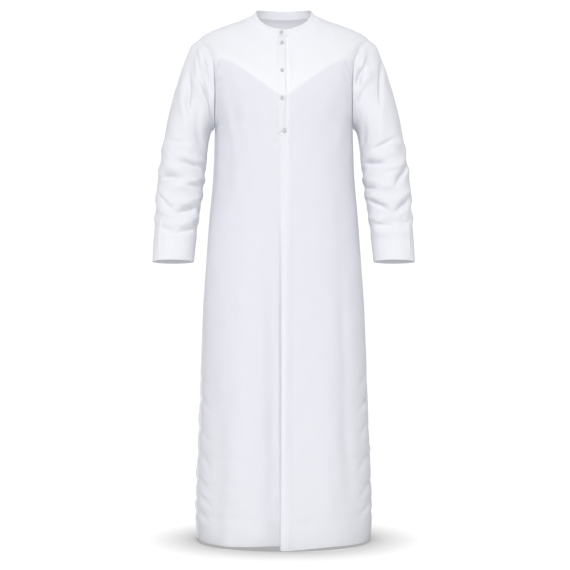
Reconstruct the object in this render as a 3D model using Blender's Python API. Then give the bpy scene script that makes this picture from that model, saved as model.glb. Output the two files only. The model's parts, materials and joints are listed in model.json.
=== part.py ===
"""Thobe robe: an ankle-length robe with long set-in sleeves, a low band collar and a short buttoned placket.

Frame: metres, +Z up. The front faces -Y and the wearer's left is +X. The origin lies between the shoulders
at the base of the neck, where the wearer's shoulders hold the robe up.

Each cloth piece is a wall. A surface function gives its outer face from the garment's sizes, and the inner
face lies one wall further in. Surfaces are read at two numbers: on a body panel v runs 0-1 up the side seam,
1-2 round the armhole and 2-3 in along the shoulder, and u runs -1 to 1 across it, right to left.
"""

import math

import bmesh
import bpy
import numpy as np
from mathutils import Vector

# ---- Driving dimensions -------------------------------------------------------------------------------

WALL = 0.0015  # cloth
SEAM_GAP = 0.0003  # clearance between pieces sewn to each other
LAID_WALL = 0.0012  # placket strip and chest facing, which lie on the front
COLLAR_WALL = 0.0020  # two layers and their interlining

HEM_DROP = 1.420
UNDERARM_DROP = 0.300
NECK_HALF_WIDTH = 0.088
NECK_SIDE_RISE = 0.012
SHOULDER_HALF_WIDTH = 0.2335
SHOULDER_DROP = 0.0545

COLLAR_HEIGHT_FRONT = 0.0205
COLLAR_HEIGHT_BACK = 0.0240
COLLAR_LAP_PAST_CENTRE = 0.0075  # how far each collar end reaches past the centre front
COLLAR_END_UNDER = 0.0165
COLLAR_CORNER_RADIUS = 0.0100

PLACKET_INNER_EDGE = -0.0165  # x of the stitched edge
PLACKET_OPEN_EDGE = 0.0075  # x of the edge that opens
PLACKET_TOP_DROP = 0.0595
PLACKET_FOOT_DROP = 0.3330

BUTTON_RADIUS = 0.0052
BUTTON_THICKNESS = 0.0022
BUTTON_EDGE = 0.0006  # softening of its rims
COLLAR_BUTTON = (-0.0060, 0.0450)  # x, drop
PLACKET_BUTTONS = ((-0.0042, 0.0760), (-0.0040, 0.1560), (-0.0042, 0.2325), (0.0025, 0.3190))  # x, drop

# Rings of the body below the underarm. drop: below the origin. squareness: 0.55 gives a quarter ellipse.
#   drop, half width, front depth, back depth, squareness
BODY_RINGS = (
    (HEM_DROP, 0.2395, 0.182, 0.172, 0.62),
    (1.357, 0.2425, 0.180, 0.169, 0.62),
    (1.308, 0.2420, 0.177, 0.166, 0.62),
    (1.176, 0.2365, 0.170, 0.159, 0.63),
    (1.044, 0.2310, 0.164, 0.152, 0.63),
    (0.912, 0.2266, 0.158, 0.146, 0.64),
    (0.780, 0.2210, 0.153, 0.141, 0.64),
    (0.665, 0.2130, 0.150, 0.137, 0.64),
    (0.550, 0.2045, 0.148, 0.134, 0.63),
    (0.418, 0.1935, 0.147, 0.134, 0.62),
    (UNDERARM_DROP, 0.1895, 0.145, 0.136, 0.61),
)

# Rows from the underarm to the neck. They leave the centre line level and reach the armhole or the
# shoulder seam on a heading, measured in plan from straight across, and a rise, both in degrees.
#   v, centre depth, centre height, heading, rise, fullness at the centre, fullness at the edge
FRONT_YOKE_ROWS = (
    (1.00, 0.145, -0.300, 90.0, 0.0, 0.610, 0.610),
    (1.12, 0.145, -0.282, 78.0, 0.0, 0.545, 0.635),
    (1.25, 0.144, -0.262, 68.0, 0.0, 0.510, 0.680),
    (1.40, 0.141, -0.236, 61.0, 0.0, 0.500, 0.730),
    (1.60, 0.132, -0.200, 53.0, 1.0, 0.520, 0.820),
    (1.80, 0.118, -0.162, 48.0, 0.0, 0.540, 0.850),
    (2.00, 0.098, -0.124, 46.0, -16.0, 0.550, 0.650),
    (2.50, 0.080, -0.088, 64.0, -4.0, 0.550, 0.620),
    (3.00, 0.062, -0.057, 90.0, 24.0, 0.550, 0.600),
)
BACK_YOKE_ROWS = (
    (1.00, 0.136, -0.300, 90.0, 0.0, 0.610, 0.610),
    (1.12, 0.137, -0.280, 78.0, 0.0, 0.545, 0.635),
    (1.25, 0.137, -0.254, 68.0, 0.0, 0.510, 0.680),
    (1.50, 0.134, -0.200, 57.0, 0.0, 0.510, 0.760),
    (1.75, 0.124, -0.138, 48.0, 0.0, 0.540, 0.850),
    (2.00, 0.104, -0.072, 44.0, -18.0, 0.550, 0.650),
    (2.50, 0.080, -0.024, 62.0, -14.0, 0.550, 0.620),
    (3.00, 0.057, 0.010, 90.0, 0.0, 0.550, 0.600),
)

# Front edge of the armhole, from the underarm to the shoulder tip. The back edge mirrors it, a little wider.
#   half width, depth, height
ARMHOLE = (
    (0.1895, 0.000, -UNDERARM_DROP),
    (0.1875, 0.032, -0.283),
    (0.1855, 0.055, -0.250),
    (0.1845, 0.067, -0.205),
    (0.1860, 0.069, -0.165),
    (0.1900, 0.063, -0.128),
    (0.2035, 0.045, -0.090),
    (0.2200, 0.024, -0.0655),
    (0.2310, 0.009, -0.0560),
    (SHOULDER_HALF_WIDTH, 0.000, -SHOULDER_DROP),
)
BACK_ARMHOLE_EASE = 0.0040

# Shoulder seam from the tip to the neck.
#   half width, height
SHOULDER_SEAM = (
    (SHOULDER_HALF_WIDTH, -SHOULDER_DROP),
    (0.2220, -0.0440),
    (0.1900, -0.0275),
    (0.1540, -0.0137),
    (0.1210, -0.0027),
    (0.1020, 0.0060),
    (NECK_HALF_WIDTH, NECK_SIDE_RISE),
)

# Rings of a sleeve from the armhole to the cuff, as the points of its outer and inner lines.
#   outer half width, outer height, inner half width, inner height, lean forward, half depth, tilt
SLEEVE_RINGS = (
    (SHOULDER_HALF_WIDTH, -SHOULDER_DROP, 0.1895, -UNDERARM_DROP, 0.000, 0.069, 0.00),
    (0.2540, -0.0714, 0.1945, -0.3030, 0.000, 0.071, 0.00),
    (0.2680, -0.1044, 0.1985, -0.3080, 0.000, 0.073, 0.00),
    (0.2857, -0.1540, 0.2025, -0.3170, 0.002, 0.073, 0.00),
    (0.3050, -0.2200, 0.2055, -0.3330, 0.004, 0.072, 0.01),
    (0.3230, -0.3020, 0.2085, -0.3640, 0.008, 0.069, 0.03),
    (0.3380, -0.3850, 0.2135, -0.4150, 0.013, 0.065, 0.06),
    (0.3490, -0.4835, 0.2220, -0.4900, 0.020, 0.058, 0.09),
    (0.3520, -0.5495, 0.2320, -0.5500, 0.026, 0.052, 0.11),
    (0.3570, -0.6650, 0.2450, -0.6650, 0.037, 0.042, 0.12),
)
SLEEVE_MEAN_RADIUS = 0.060
SLEEVE_CENTRE_LENGTH = 0.50
ARMHOLE_BLEND = 0.30  # share of the sleeve's length over which it leaves the armhole's shape
TIP_SHARE = 0.999999  # keeps the armhole's last point off the shoulder seam's first

# Large folds of the front and back. A fold runs from one end to the other; depth is + out and - in.
#   x at the top, drop at the top, x at the foot, drop at the foot, half width, depth top, depth foot
FRONT_FOLDS = (
    (-0.034, 0.340, -0.036, 1.480, 0.017, -0.003, -0.013),  # the hollow beside the centre fold
    (0.004, 0.300, -0.002, 1.480, 0.013, 0.003, 0.008),  # the centre fold
    (-0.105, 0.420, -0.118, 1.480, 0.030, 0.003, 0.009),
    (-0.165, 0.900, -0.175, 1.480, 0.020, -0.001, -0.006),
    (-0.160, 0.215, -0.128, 0.400, 0.013, 0.005, 0.001),  # pull from the armhole
    (0.150, 0.400, 0.178, 1.480, 0.018, -0.003, -0.007),
    (0.110, 0.800, 0.120, 1.480, 0.030, 0.001, 0.006),
    (0.165, 0.230, 0.140, 0.420, 0.014, 0.004, 0.001),  # pull from the armhole
)
BACK_FOLDS = (
    (0.000, 0.200, 0.006, 1.480, 0.028, -0.003, -0.012),
    (0.095, 0.330, 0.112, 1.480, 0.026, 0.003, 0.012),
    (-0.088, 0.300, -0.120, 1.480, 0.028, 0.003, 0.011),
    (0.160, 0.500, 0.178, 1.480, 0.018, -0.002, -0.007),
    (-0.150, 0.450, -0.172, 1.480, 0.020, -0.002, -0.008),
    (0.150, 0.190, 0.120, 0.360, 0.014, 0.005, 0.001),
    (-0.150, 0.200, -0.118, 0.380, 0.014, 0.005, 0.001),
)

# Unevenness of the front hem: how far it is lifted, by x.
#   x, lift
HEM_LIFTS = (
    (-0.240, 0.000),
    (-0.190, 0.003),
    (-0.080, 0.003),
    (-0.034, 0.006),
    (-0.002, -0.006),
    (0.040, -0.004),
    (0.100, 0.001),
    (0.190, 0.004),
    (0.240, 0.000),
)
HEM_LIFT_FADE = 0.45  # height over which the lift fades out

# Folds of the sleeves. Angles go round from the outer line (0) by the front (90), the inner line (180) and
# the back (270); along is 0 at the armhole and 1 at the cuff.
#   angle at one end, along at one end, angle at the other, along at the other, half width, depth
SLEEVE_LEFT_FOLDS = (
    (45.0, 0.055, 102.0, 0.012, 0.013, -0.0060),  # beside the armhole
    (22.0, 0.070, 92.0, 0.195, 0.014, -0.0070),
    (62.0, 0.385, 122.0, 0.385, 0.012, -0.0060),  # elbow
    (90.0, 0.490, 155.0, 0.435, 0.012, -0.0050),
    (24.0, 0.490, 80.0, 0.615, 0.012, -0.0060),
    (90.0, 0.730, 158.0, 0.665, 0.012, -0.0050),
    (26.0, 0.660, 86.0, 0.760, 0.012, -0.0050),
    (26.0, 0.790, 152.0, 0.820, 0.012, -0.0045),
    (215.0, 0.080, 300.0, 0.220, 0.016, -0.0065),  # back of the arm
    (225.0, 0.400, 320.0, 0.440, 0.013, -0.0055),
    (212.0, 0.580, 300.0, 0.540, 0.013, -0.0050),
    (228.0, 0.740, 310.0, 0.690, 0.013, -0.0045),
)
SLEEVE_RIGHT_FOLDS = (
    (52.0, 0.085, 122.0, 0.020, 0.013, -0.0060),  # beside the armhole
    (18.0, 0.115, 88.0, 0.205, 0.015, -0.0060),
    (48.0, 0.425, 118.0, 0.370, 0.012, -0.0060),  # elbow
    (78.0, 0.475, 146.0, 0.460, 0.012, -0.0050),
    (24.0, 0.555, 98.0, 0.555, 0.012, -0.0060),
    (24.0, 0.600, 97.0, 0.745, 0.012, 0.0040),
    (92.0, 0.750, 154.0, 0.715, 0.012, -0.0050),
    (40.0, 0.830, 152.0, 0.840, 0.012, -0.0045),
    (212.0, 0.100, 304.0, 0.240, 0.016, -0.0065),  # back of the arm
    (230.0, 0.430, 318.0, 0.395, 0.013, -0.0055),
    (210.0, 0.540, 292.0, 0.585, 0.013, -0.0050),
    (226.0, 0.700, 312.0, 0.740, 0.013, -0.0045),
)

# Lower edge of the chest facing, mirrored on the other side.
#   distance from the centre, drop
FACING_EDGE = ((0.0, 0.232), (0.020, 0.218), (0.080, 0.172), (0.130, 0.136), (0.165, 0.118), (0.200, 0.128))
FACING_CENTRE_GAP = 0.0010
FACING_EDGE_INSET = 0.975  # share of the panel's width that the facing reaches
FACING_NECK_ROW = 2.97  # the facing stops just below the neck seam
FACING_GAP = 0.0006

# Divisions of the surfaces.
SIDE_ROWS = 20
ARMHOLE_ROWS = 12
SHOULDER_ROWS = 6
FRONT_COLUMNS = 13
BACK_COLUMNS = 10
SLEEVE_ROWS = 25
FACING_COLUMNS = 10
BUTTON_SIDES = 16

CLOTH_COLOUR = (0.86, 0.87, 0.90)
BUTTON_COLOUR = (0.62, 0.62, 0.64)


# ---- Curves and surfaces ------------------------------------------------------------------------------


def smooth_through(stations, values, at):
    """Reads values, given at rising stations, along a smooth curve that never overshoots them."""
    stations = np.asarray(stations, float)
    values = np.asarray(values, float).reshape(len(stations), -1)
    at = np.clip(np.asarray(at, float), stations[0], stations[-1])
    gaps = np.diff(stations)[:, None]
    steps = np.diff(values, axis=0) / gaps
    slopes = np.zeros_like(values)
    slopes[0] = steps[0]
    slopes[-1] = steps[-1]
    product = steps[:-1] * steps[1:]
    total = np.where(product > 0.0, steps[:-1] + steps[1:], 1.0)
    slopes[1:-1] = np.where(product > 0.0, 2.0 * product / total, 0.0)
    span = np.clip(np.searchsorted(stations, at, side="right") - 1, 0, len(gaps) - 1)
    gap = gaps[span]
    t = (at - stations[span])[:, None] / gap
    start = (2.0 * t**3 - 3.0 * t**2 + 1.0) * values[span] + (t**3 - 2.0 * t**2 + t) * gap * slopes[span]
    end = (3.0 * t**2 - 2.0 * t**3) * values[span + 1] + (t**3 - t**2) * gap * slopes[span + 1]
    return start + end


def along_points(points, share):
    """Reads a smooth curve through points at shares 0-1 of its length."""
    points = np.asarray(points, float)
    lengths = np.r_[0.0, np.cumsum(np.linalg.norm(np.diff(points, axis=0), axis=1))]
    return smooth_through(lengths / lengths[-1], points, share)


def soft_step(x):
    x = np.clip(x, 0.0, 1.0)
    return x * x * (3.0 - 2.0 * x)


def unit(vectors):
    return vectors / np.maximum(np.linalg.norm(vectors, axis=-1, keepdims=True), 1e-12)


def ridge(offset_x, offset_z, end_x, end_z, half_width):
    """How much of a fold's depth a point gets, and how far along it the point is."""
    length = np.hypot(end_x, end_z)
    along = (offset_x * end_x + offset_z * end_z) / length**2
    across = (offset_x * end_z - offset_z * end_x) / length
    ends = soft_step(along / 0.25) * soft_step((1.0 - along) / 0.25)
    return np.exp(-((across / half_width) ** 2)) * ends, along


class Panel:
    """The front or the back: one cut piece from the hem to the shoulder seam and neck."""

    def __init__(self, side, depth_column, columns, yoke_rows, armhole_ease, folds, hem_lifts):
        self.side = side  # -1 front, +1 back
        self.columns = columns
        self.folds = folds
        self.hem_lifts = hem_lifts
        rings = np.array(BODY_RINGS)
        self.ring_v = (HEM_DROP - rings[:, 0]) / (HEM_DROP - UNDERARM_DROP)
        self.rings = rings[:, [1, depth_column, 4]]
        self.yoke = np.array(yoke_rows)
        scale = np.array([1.0, side, 1.0])
        swell = np.array([0.0, armhole_ease, 0.0])
        belly = np.array([[1.0 if 0 < i < len(ARMHOLE) - 1 else 0.0] for i in range(len(ARMHOLE))])
        self.armhole = (np.array(ARMHOLE) + swell * belly) * scale
        self.shoulder = np.array([(x, 0.0, z) for x, z in SHOULDER_SEAM])

    def edge(self, v):
        """The panel's side edge: side seam, armhole and shoulder seam."""
        low = smooth_through(self.ring_v, self.rings, v)
        drop = HEM_DROP - (HEM_DROP - UNDERARM_DROP) * np.clip(v, 0.0, 1.0)
        seam = np.stack([low[:, 0], np.zeros(len(v)), -drop], axis=1)
        armhole = along_points(self.armhole, np.clip(v - 1.0, 0.0, 1.0))
        shoulder = along_points(self.shoulder, np.clip(v - 2.0, 0.0, 1.0))
        edge = np.where(v[:, None] < 1.0, seam, np.where(v[:, None] < 2.0, armhole, shoulder))
        edge[:, 1] += self.side * SEAM_GAP / 2.0
        return edge

    def rows(self, v):
        """Per row: centre point, edge point, direction at the edge and the two fullnesses."""
        edge = self.edge(v)
        low = smooth_through(self.ring_v, self.rings, v)
        high = smooth_through(self.yoke[:, 0], self.yoke[:, 1:], v)
        below = v < 1.0
        depth = np.where(below, low[:, 1], high[:, 0])
        height = np.where(below, edge[:, 2], high[:, 1])
        heading = np.radians(np.where(below, 90.0, high[:, 2]))
        rise = np.radians(np.where(below, 0.0, high[:, 3]))
        inner_fullness = np.where(below, low[:, 2], high[:, 4])
        outer_fullness = np.where(below, low[:, 2], high[:, 5])
        centre = np.stack([np.zeros(len(v)), self.side * depth, height], axis=1)
        toward = [np.cos(heading) * np.cos(rise), -self.side * np.sin(heading) * np.cos(rise), np.sin(rise)]
        return centre, edge, np.stack(toward, axis=1), inner_fullness, outer_fullness

    def bare(self, v, u):
        """Points of the unfolded surface at paired v and u."""
        centre, edge, toward, inner_fullness, outer_fullness = self.rows(v)
        t = np.abs(u)[:, None]
        leave = centre.copy()
        leave[:, 0] += inner_fullness * edge[:, 0]
        reach = outer_fullness * np.abs(edge[:, 1] - centre[:, 1])
        arrive = edge - toward * reach[:, None]
        back = 1.0 - t
        points = back**3 * centre + 3 * back**2 * t * leave + 3 * back * t**2 * arrive + t**3 * edge
        points[:, 0] *= np.where(u < 0.0, -1.0, 1.0)
        return points

    def normal(self, surface, v, u):
        """Outward normals, kept square to the seam plane where the two panels meet."""
        step = 0.004
        up = surface(np.minimum(v + step, 3.0), u) - surface(np.maximum(v - step, 0.0), u)
        across = surface(v, np.minimum(u + step, 1.0)) - surface(v, np.maximum(u - step, -1.0))
        normals = np.cross(across, up) * -self.side
        at_seam = (np.abs(u) > 0.9999) & ((v < 1.0001) | (v > 1.9999))
        normals[at_seam, 1] = 0.0
        return unit(normals)

    def skin(self, v, u):
        """Points of the outer face, with its folds."""
        points = self.bare(v, u)
        offset = np.zeros(len(v))
        for x_top, drop_top, x_foot, drop_foot, half_width, depth_top, depth_foot in self.folds:
            from_top_x = points[:, 0] - x_top
            from_top_z = points[:, 2] + drop_top
            share, along = ridge(from_top_x, from_top_z, x_foot - x_top, drop_top - drop_foot, half_width)
            offset += share * (depth_top + (depth_foot - depth_top) * np.clip(along, 0.0, 1.0))
        offset *= soft_step((1.0 - np.abs(u)) / 0.16)
        folded = points + self.normal(self.bare, v, u) * offset[:, None]
        if self.hem_lifts:
            stations, lifts = np.array(self.hem_lifts).T
            lift = smooth_through(stations, lifts, points[:, 0])[:, 0]
            folded[:, 2] += lift * soft_step(1.0 - (points[:, 2] + HEM_DROP) / HEM_LIFT_FADE)
        return folded

    def face(self, v, u, out):
        """Points at a distance out from the outer face."""
        return self.skin(v, u) + self.normal(self.skin, v, u) * out

    def on_facets(self, v, u, out):
        """Points at a distance out from the panel's flat facets, for pieces that lie on it."""
        rows = panel_rows()
        columns = panel_columns(self.columns)
        row = np.clip(np.searchsorted(rows, v, side="right") - 1, 0, len(rows) - 2)
        column = np.clip(np.searchsorted(columns, u, side="right") - 1, 0, len(columns) - 2)
        row_share = ((v - rows[row]) / (rows[row + 1] - rows[row]))[:, None]
        column_share = ((u - columns[column]) / (columns[column + 1] - columns[column]))[:, None]
        lower = self.face(rows[row], columns[column], out) * (1.0 - column_share)
        lower += self.face(rows[row], columns[column + 1], out) * column_share
        upper = self.face(rows[row + 1], columns[column], out) * (1.0 - column_share)
        upper += self.face(rows[row + 1], columns[column + 1], out) * column_share
        return lower * (1.0 - row_share) + upper * row_share

    def column_at(self, v, x):
        """The u at which each row passes x, near the centre."""
        samples = np.linspace(0.0, 0.4, 41)
        found = []
        for row, distance in zip(v, np.abs(x)):
            widths = self.bare(np.full(41, row), samples)[:, 0]
            found.append(np.interp(distance, widths, samples))
        return np.array(found) * np.sign(x)

    def row_at(self, u, height, low, high):
        """The v at which each column passes a height, between two rows."""
        samples = np.linspace(low, high, 161)
        found = []
        for column, target in zip(u, height):
            heights = self.bare(samples, np.full(161, column))[:, 2]
            found.append(np.interp(target, heights, samples))
        return np.array(found)


class Sleeve:
    """A set-in sleeve: its first ring follows the armhole, and it hangs clear of the body."""

    def __init__(self, side, front, back, folds):
        self.side = side  # +1 the wearer's left, -1 the right
        self.front = front
        self.back = back
        self.folds = folds
        rings = np.array(SLEEVE_RINGS)
        lengths = np.hypot(np.diff(rings[:, 0] + rings[:, 2]), np.diff(rings[:, 1] + rings[:, 3]))
        self.stations = np.r_[0.0, np.cumsum(lengths)] / lengths.sum()
        self.rings = rings

    def armhole(self, angle):
        """Points round the armhole: 180 degrees is the underarm and 0 the shoulder tip."""
        turn = np.mod(angle, 360.0)
        share = np.abs(turn / 180.0 - 1.0)
        front = self.front.edge(1.0 + share * TIP_SHARE)
        back = self.back.edge(1.0 + share * TIP_SHARE)
        points = np.where((turn <= 180.0)[:, None], front, back)
        points[(share < 1e-6) | (share > 1.0 - 1e-6), 1] = 0.0
        return points

    def armhole_normal(self, angle):
        turn = np.mod(angle, 360.0)
        share = np.abs(turn / 180.0 - 1.0)
        ones = np.ones(len(angle))
        front = self.front.normal(self.front.skin, 1.0 + share, ones)
        back = self.back.normal(self.back.skin, 1.0 + share, ones)
        weight = np.where((share < 1e-6) | (share > 1.0 - 1e-6), 0.5, np.where(turn < 180.0, 1.0, 0.0))
        return unit(front * weight[:, None] + back * (1.0 - weight[:, None]))

    def off_edge(self, angle):
        """Directions in the body's surface, square to the armhole's edge and off it."""
        tangent = self.armhole(angle + 0.5) - self.armhole(angle - 0.5)
        return unit(np.cross(self.armhole_normal(angle), tangent))

    def start(self, angle):
        """The first ring, one seam gap off the body's edge."""
        away = unit(self.off_edge(angle) + np.array([1.0, 0.0, 0.0]))
        return self.armhole(angle) + away * SEAM_GAP * 1.4

    def tube(self, along, angle):
        """The plain tube, before it is fitted to the armhole."""
        outer_x, outer_z, inner_x, inner_z, lean, half_depth, tilt = smooth_through(
            self.stations, self.rings, along
        ).T
        cosine = np.cos(np.radians(angle))
        sine = np.sin(np.radians(angle))
        x = (outer_x + inner_x) / 2.0 + cosine * (outer_x - inner_x) / 2.0
        z = (outer_z + inner_z) / 2.0 + cosine * (outer_z - inner_z) / 2.0 + sine * half_depth * tilt
        y = -lean - sine * half_depth
        return np.stack([x, y, z], axis=1)

    def bare(self, along, angle):
        misfit = self.start(angle) - self.tube(np.zeros(len(angle)), angle)
        fade = 1.0 - soft_step(along / ARMHOLE_BLEND)
        return self.tube(along, angle) + misfit * fade[:, None]

    def normal(self, surface, along, angle):
        step = 0.002
        down = surface(np.minimum(along + step, 1.0), angle) - surface(np.maximum(along - step, 0.0), angle)
        around = surface(along, angle + 1.0) - surface(along, angle - 1.0)
        return unit(np.cross(around, down))

    def skin(self, along, angle):
        points = self.bare(along, angle)
        offset = np.zeros(len(along))
        for angle_a, along_a, angle_b, along_b, half_width, depth in self.folds:
            round_way = np.mod(angle - angle_a + 120.0, 360.0) - 120.0
            share, _ = ridge(
                np.radians(round_way) * SLEEVE_MEAN_RADIUS,
                (along - along_a) * SLEEVE_CENTRE_LENGTH,
                math.radians(angle_b - angle_a) * SLEEVE_MEAN_RADIUS,
                (along_b - along_a) * SLEEVE_CENTRE_LENGTH,
                half_width,
            )
            offset += share * depth
        offset *= soft_step(along / 0.05) * soft_step((1.0 - along) / 0.14)
        return points + self.normal(self.bare, along, angle) * offset[:, None]

    def face(self, along, angle, out):
        """Points at a distance out from the outer face. The first ring's rim stays off the body's edge."""
        normals = self.normal(self.skin, along, angle)
        off_edge = self.off_edge(angle)
        lean = np.maximum(np.sum(normals * off_edge, axis=1), 0.0) * (along < 1e-6)
        normals = unit(normals - off_edge * lean[:, None])
        points = self.skin(along, angle) + normals * out
        points[:, 0] *= self.side
        return points


# ---- Solids ------------------------------------------------------------------------------------------


def material(name, colour, roughness):
    made = bpy.data.materials.get(name)
    if made is None:
        made = bpy.data.materials.new(name)
        made.use_nodes = True
        shader = made.node_tree.nodes["Principled BSDF"]
        shader.inputs["Base Color"].default_value = (*colour, 1.0)
        shader.inputs["Roughness"].default_value = roughness
        shader.inputs["Metallic"].default_value = 0.0
    return made


def link_object(name, mesh, colour, roughness):
    mesh.shade_smooth()
    mesh.set_sharp_from_angle(angle=math.radians(40.0))
    made = bpy.data.objects.new(name, mesh)
    mesh.materials.append(material(name + "_finish", colour, roughness))
    bpy.context.scene.collection.objects.link(made)
    return made


def cloth_object(name, points, faces):
    """Makes one closed piece of cloth, turned so that its faces point out."""
    volume = 0.0
    for face in faces:
        for second, third in zip(face[1:-1], face[2:]):
            volume += np.dot(points[face[0]], np.cross(points[second], points[third]))
    if volume < 0.0:
        faces = [face[::-1] for face in faces]
    mesh = bpy.data.meshes.new(name)
    mesh.from_pydata(points.tolist(), [], faces)
    return link_object(name, mesh, CLOTH_COLOUR, 0.85)


def wall_from_grids(name, outer, inner, closed_round=False):
    """Joins two grids of points, rows x columns x 3, into a wall with rims along its open edges."""
    rows, columns = outer.shape[:2]
    count = rows * columns

    def point(row, column, layer):
        return layer * count + row * columns + column % columns

    faces = []
    last = columns if closed_round else columns - 1
    for row in range(rows - 1):
        for column in range(last):
            for layer in (0, 1):
                corners = [
                    point(row, column, layer),
                    point(row, column + 1, layer),
                    point(row + 1, column + 1, layer),
                    point(row + 1, column, layer),
                ]
                faces.append(corners if layer == 0 else corners[::-1])

    def add_rim(here, there, flip):
        rim = [point(*here, 0), point(*there, 0), point(*there, 1), point(*here, 1)]
        faces.append(rim[::-1] if flip else rim)

    for column in range(last):
        add_rim((0, column), (0, column + 1), True)
        add_rim((rows - 1, column), (rows - 1, column + 1), False)
    if not closed_round:
        for row in range(rows - 1):
            add_rim((row, 0), (row + 1, 0), False)
            add_rim((row, columns - 1), (row + 1, columns - 1), True)
    return cloth_object(name, np.concatenate([outer.reshape(-1, 3), inner.reshape(-1, 3)]), faces)


def wall_on(name, face, first, second, near, far, closed_round=False):
    """A wall between two distances from a surface, on a grid of its two numbers."""
    shape = first.shape
    grids = []
    for out in (near, far):
        points = face(first.ravel(), second.ravel(), out)
        grids.append(points.reshape(*shape, 3))
    return wall_from_grids(name, grids[0], grids[1], closed_round)


def panel_rows():
    side = np.linspace(0.0, 1.0, SIDE_ROWS + 1)
    armhole = np.linspace(1.0, 2.0, ARMHOLE_ROWS + 1)[1:]
    shoulder = np.linspace(2.0, 3.0, SHOULDER_ROWS + 1)[1:]
    return np.r_[side, armhole, shoulder]


def panel_columns(count):
    """Columns across a panel, closer near the centre line."""
    half = np.linspace(0.0, 1.0, count + 1) ** 1.25
    return np.r_[-half[:0:-1], half]


def make_body(front, back):
    for name, panel in (("front_body", front), ("back_body", back)):
        v, u = np.meshgrid(panel_rows(), panel_columns(panel.columns), indexing="ij")
        wall_on(name, panel.face, v, u, 0.0, -WALL)


def make_sleeve(name, sleeve):
    around = 2 * ARMHOLE_ROWS
    rings = np.linspace(0.0, 1.0, SLEEVE_ROWS + 1) ** 1.4
    along, angle = np.meshgrid(rings, np.arange(around) * 360.0 / around, indexing="ij")
    wall_on(name, sleeve.face, along, angle, 0.0, -WALL, closed_round=True)


def make_collar(front, back):
    """A standing band on the neck edge, whose right end laps over its left end at the front."""
    centre = front.column_at(np.array([3.0, 3.0]), np.array([COLLAR_LAP_PAST_CENTRE, COLLAR_END_UNDER]))
    first = -centre[0]
    last = 4.0 + centre[1]
    corner = COLLAR_CORNER_RADIUS / COLLAR_LAP_PAST_CENTRE * centre[0]
    rounding = corner * (1.0 - np.cos(np.radians(np.array([0.0, 30.0, 60.0, 90.0]))))
    front_half = panel_columns(front.columns)[front.columns :]
    back_half = panel_columns(back.columns)[back.columns :]
    seam_points = np.r_[front_half, 2.0 - back_half[-2::-1], 2.0 + back_half[1:], 4.0 - front_half[-2::-1]]
    clear_of_ends = (seam_points > first + 1.3 * corner) & (seam_points < last - 1.3 * corner)
    turn = np.r_[first + rounding, seam_points[clear_of_ends], last - rounding[::-1]]
    on_front = (turn < 1.0) | (turn > 3.0)
    front_u = np.where(turn < 1.0, -turn, 4.0 - turn)
    back_u = np.clip(turn - 2.0, -1.0, 1.0)
    top = np.full(len(turn), 3.0)
    base = np.where(on_front[:, None], front.bare(top, front_u), back.bare(top, back_u))
    base[:, 2] += SEAM_GAP * 1.5
    from_end = np.minimum(turn - first, last - turn) / corner
    cut_off = 1.0 - np.sqrt(1.0 - np.clip(1.0 - from_end, 0.0, 1.0) ** 2)

    plan = np.stack([base[:, 0], base[:, 1], np.zeros(len(turn))], axis=1)
    outward = unit(plan * np.array([1.0, (NECK_HALF_WIDTH / 0.060) ** 2, 1.0]))
    lap = 1.0 - soft_step((turn - first) / 0.9)
    backness = soft_step((base[:, 1] + 0.060) / 0.115)
    height = COLLAR_HEIGHT_FRONT + (COLLAR_HEIGHT_BACK - COLLAR_HEIGHT_FRONT) * backness
    height -= COLLAR_CORNER_RADIUS * cut_off
    sideness = np.abs(base[:, 0]) / NECK_HALF_WIDTH
    lean = 0.04 + 0.22 * backness + 0.16 * sideness
    stand = unit(np.stack([-outward[:, 0] * lean, -outward[:, 1] * lean, np.ones(len(turn))], axis=1))
    base += outward * (lap * (COLLAR_WALL + 2.0 * SEAM_GAP))[:, None]

    levels = (0.0, 0.5, 1.0)
    outer = np.stack([base + stand * (height * level)[:, None] for level in levels])
    inner = outer - outward * COLLAR_WALL
    wall_from_grids("collar_band", outer, inner)


def make_placket(front):
    """The strip that closes the slit: laid on the front, open along its left edge."""
    foot, top = front.row_at(np.zeros(2), np.array([-PLACKET_FOOT_DROP, -PLACKET_TOP_DROP]), 0.9, 3.0)
    rows = panel_rows()
    v = np.r_[foot, rows[(rows > foot + 0.005) & (rows < top - 0.03)], top]
    edges = np.linspace(PLACKET_INNER_EDGE, PLACKET_OPEN_EDGE, 4)
    u = np.stack([front.column_at(v, np.full(len(v), x)) for x in edges], axis=1)
    v = np.repeat(v[:, None], u.shape[1], axis=1)
    wall_on("placket", front.on_facets, v, u, SEAM_GAP + LAID_WALL, SEAM_GAP)


def make_facing(name, front, side):
    """Half of the V of doubled cloth behind the chest."""
    inner_u = front.column_at(np.array([2.5]), np.array([FACING_CENTRE_GAP]))[0]
    u = np.linspace(inner_u, FACING_EDGE_INSET, FACING_COLUMNS + 1)
    distance, drop = np.array(FACING_EDGE).T
    foot = np.full(len(u), 1.5)
    for _ in range(6):
        x = front.bare(foot, u)[:, 0]
        foot = front.row_at(u, -np.interp(x, distance, drop), 1.0, 1.98)
    chest = foot + (2.0 - foot) * np.linspace(0.0, 1.0, 6)[:, None]
    shoulder = np.linspace(2.0, 3.0, SHOULDER_ROWS + 1)[1:]
    shoulder[-1] = FACING_NECK_ROW
    v = np.concatenate([chest, np.repeat(shoulder[:, None], len(u), axis=1)])
    columns = np.repeat(u[None, :] * side, len(v), axis=0)
    near = -(WALL + FACING_GAP)
    wall_on(name, front.on_facets, v, columns, near, near - LAID_WALL)


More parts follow.
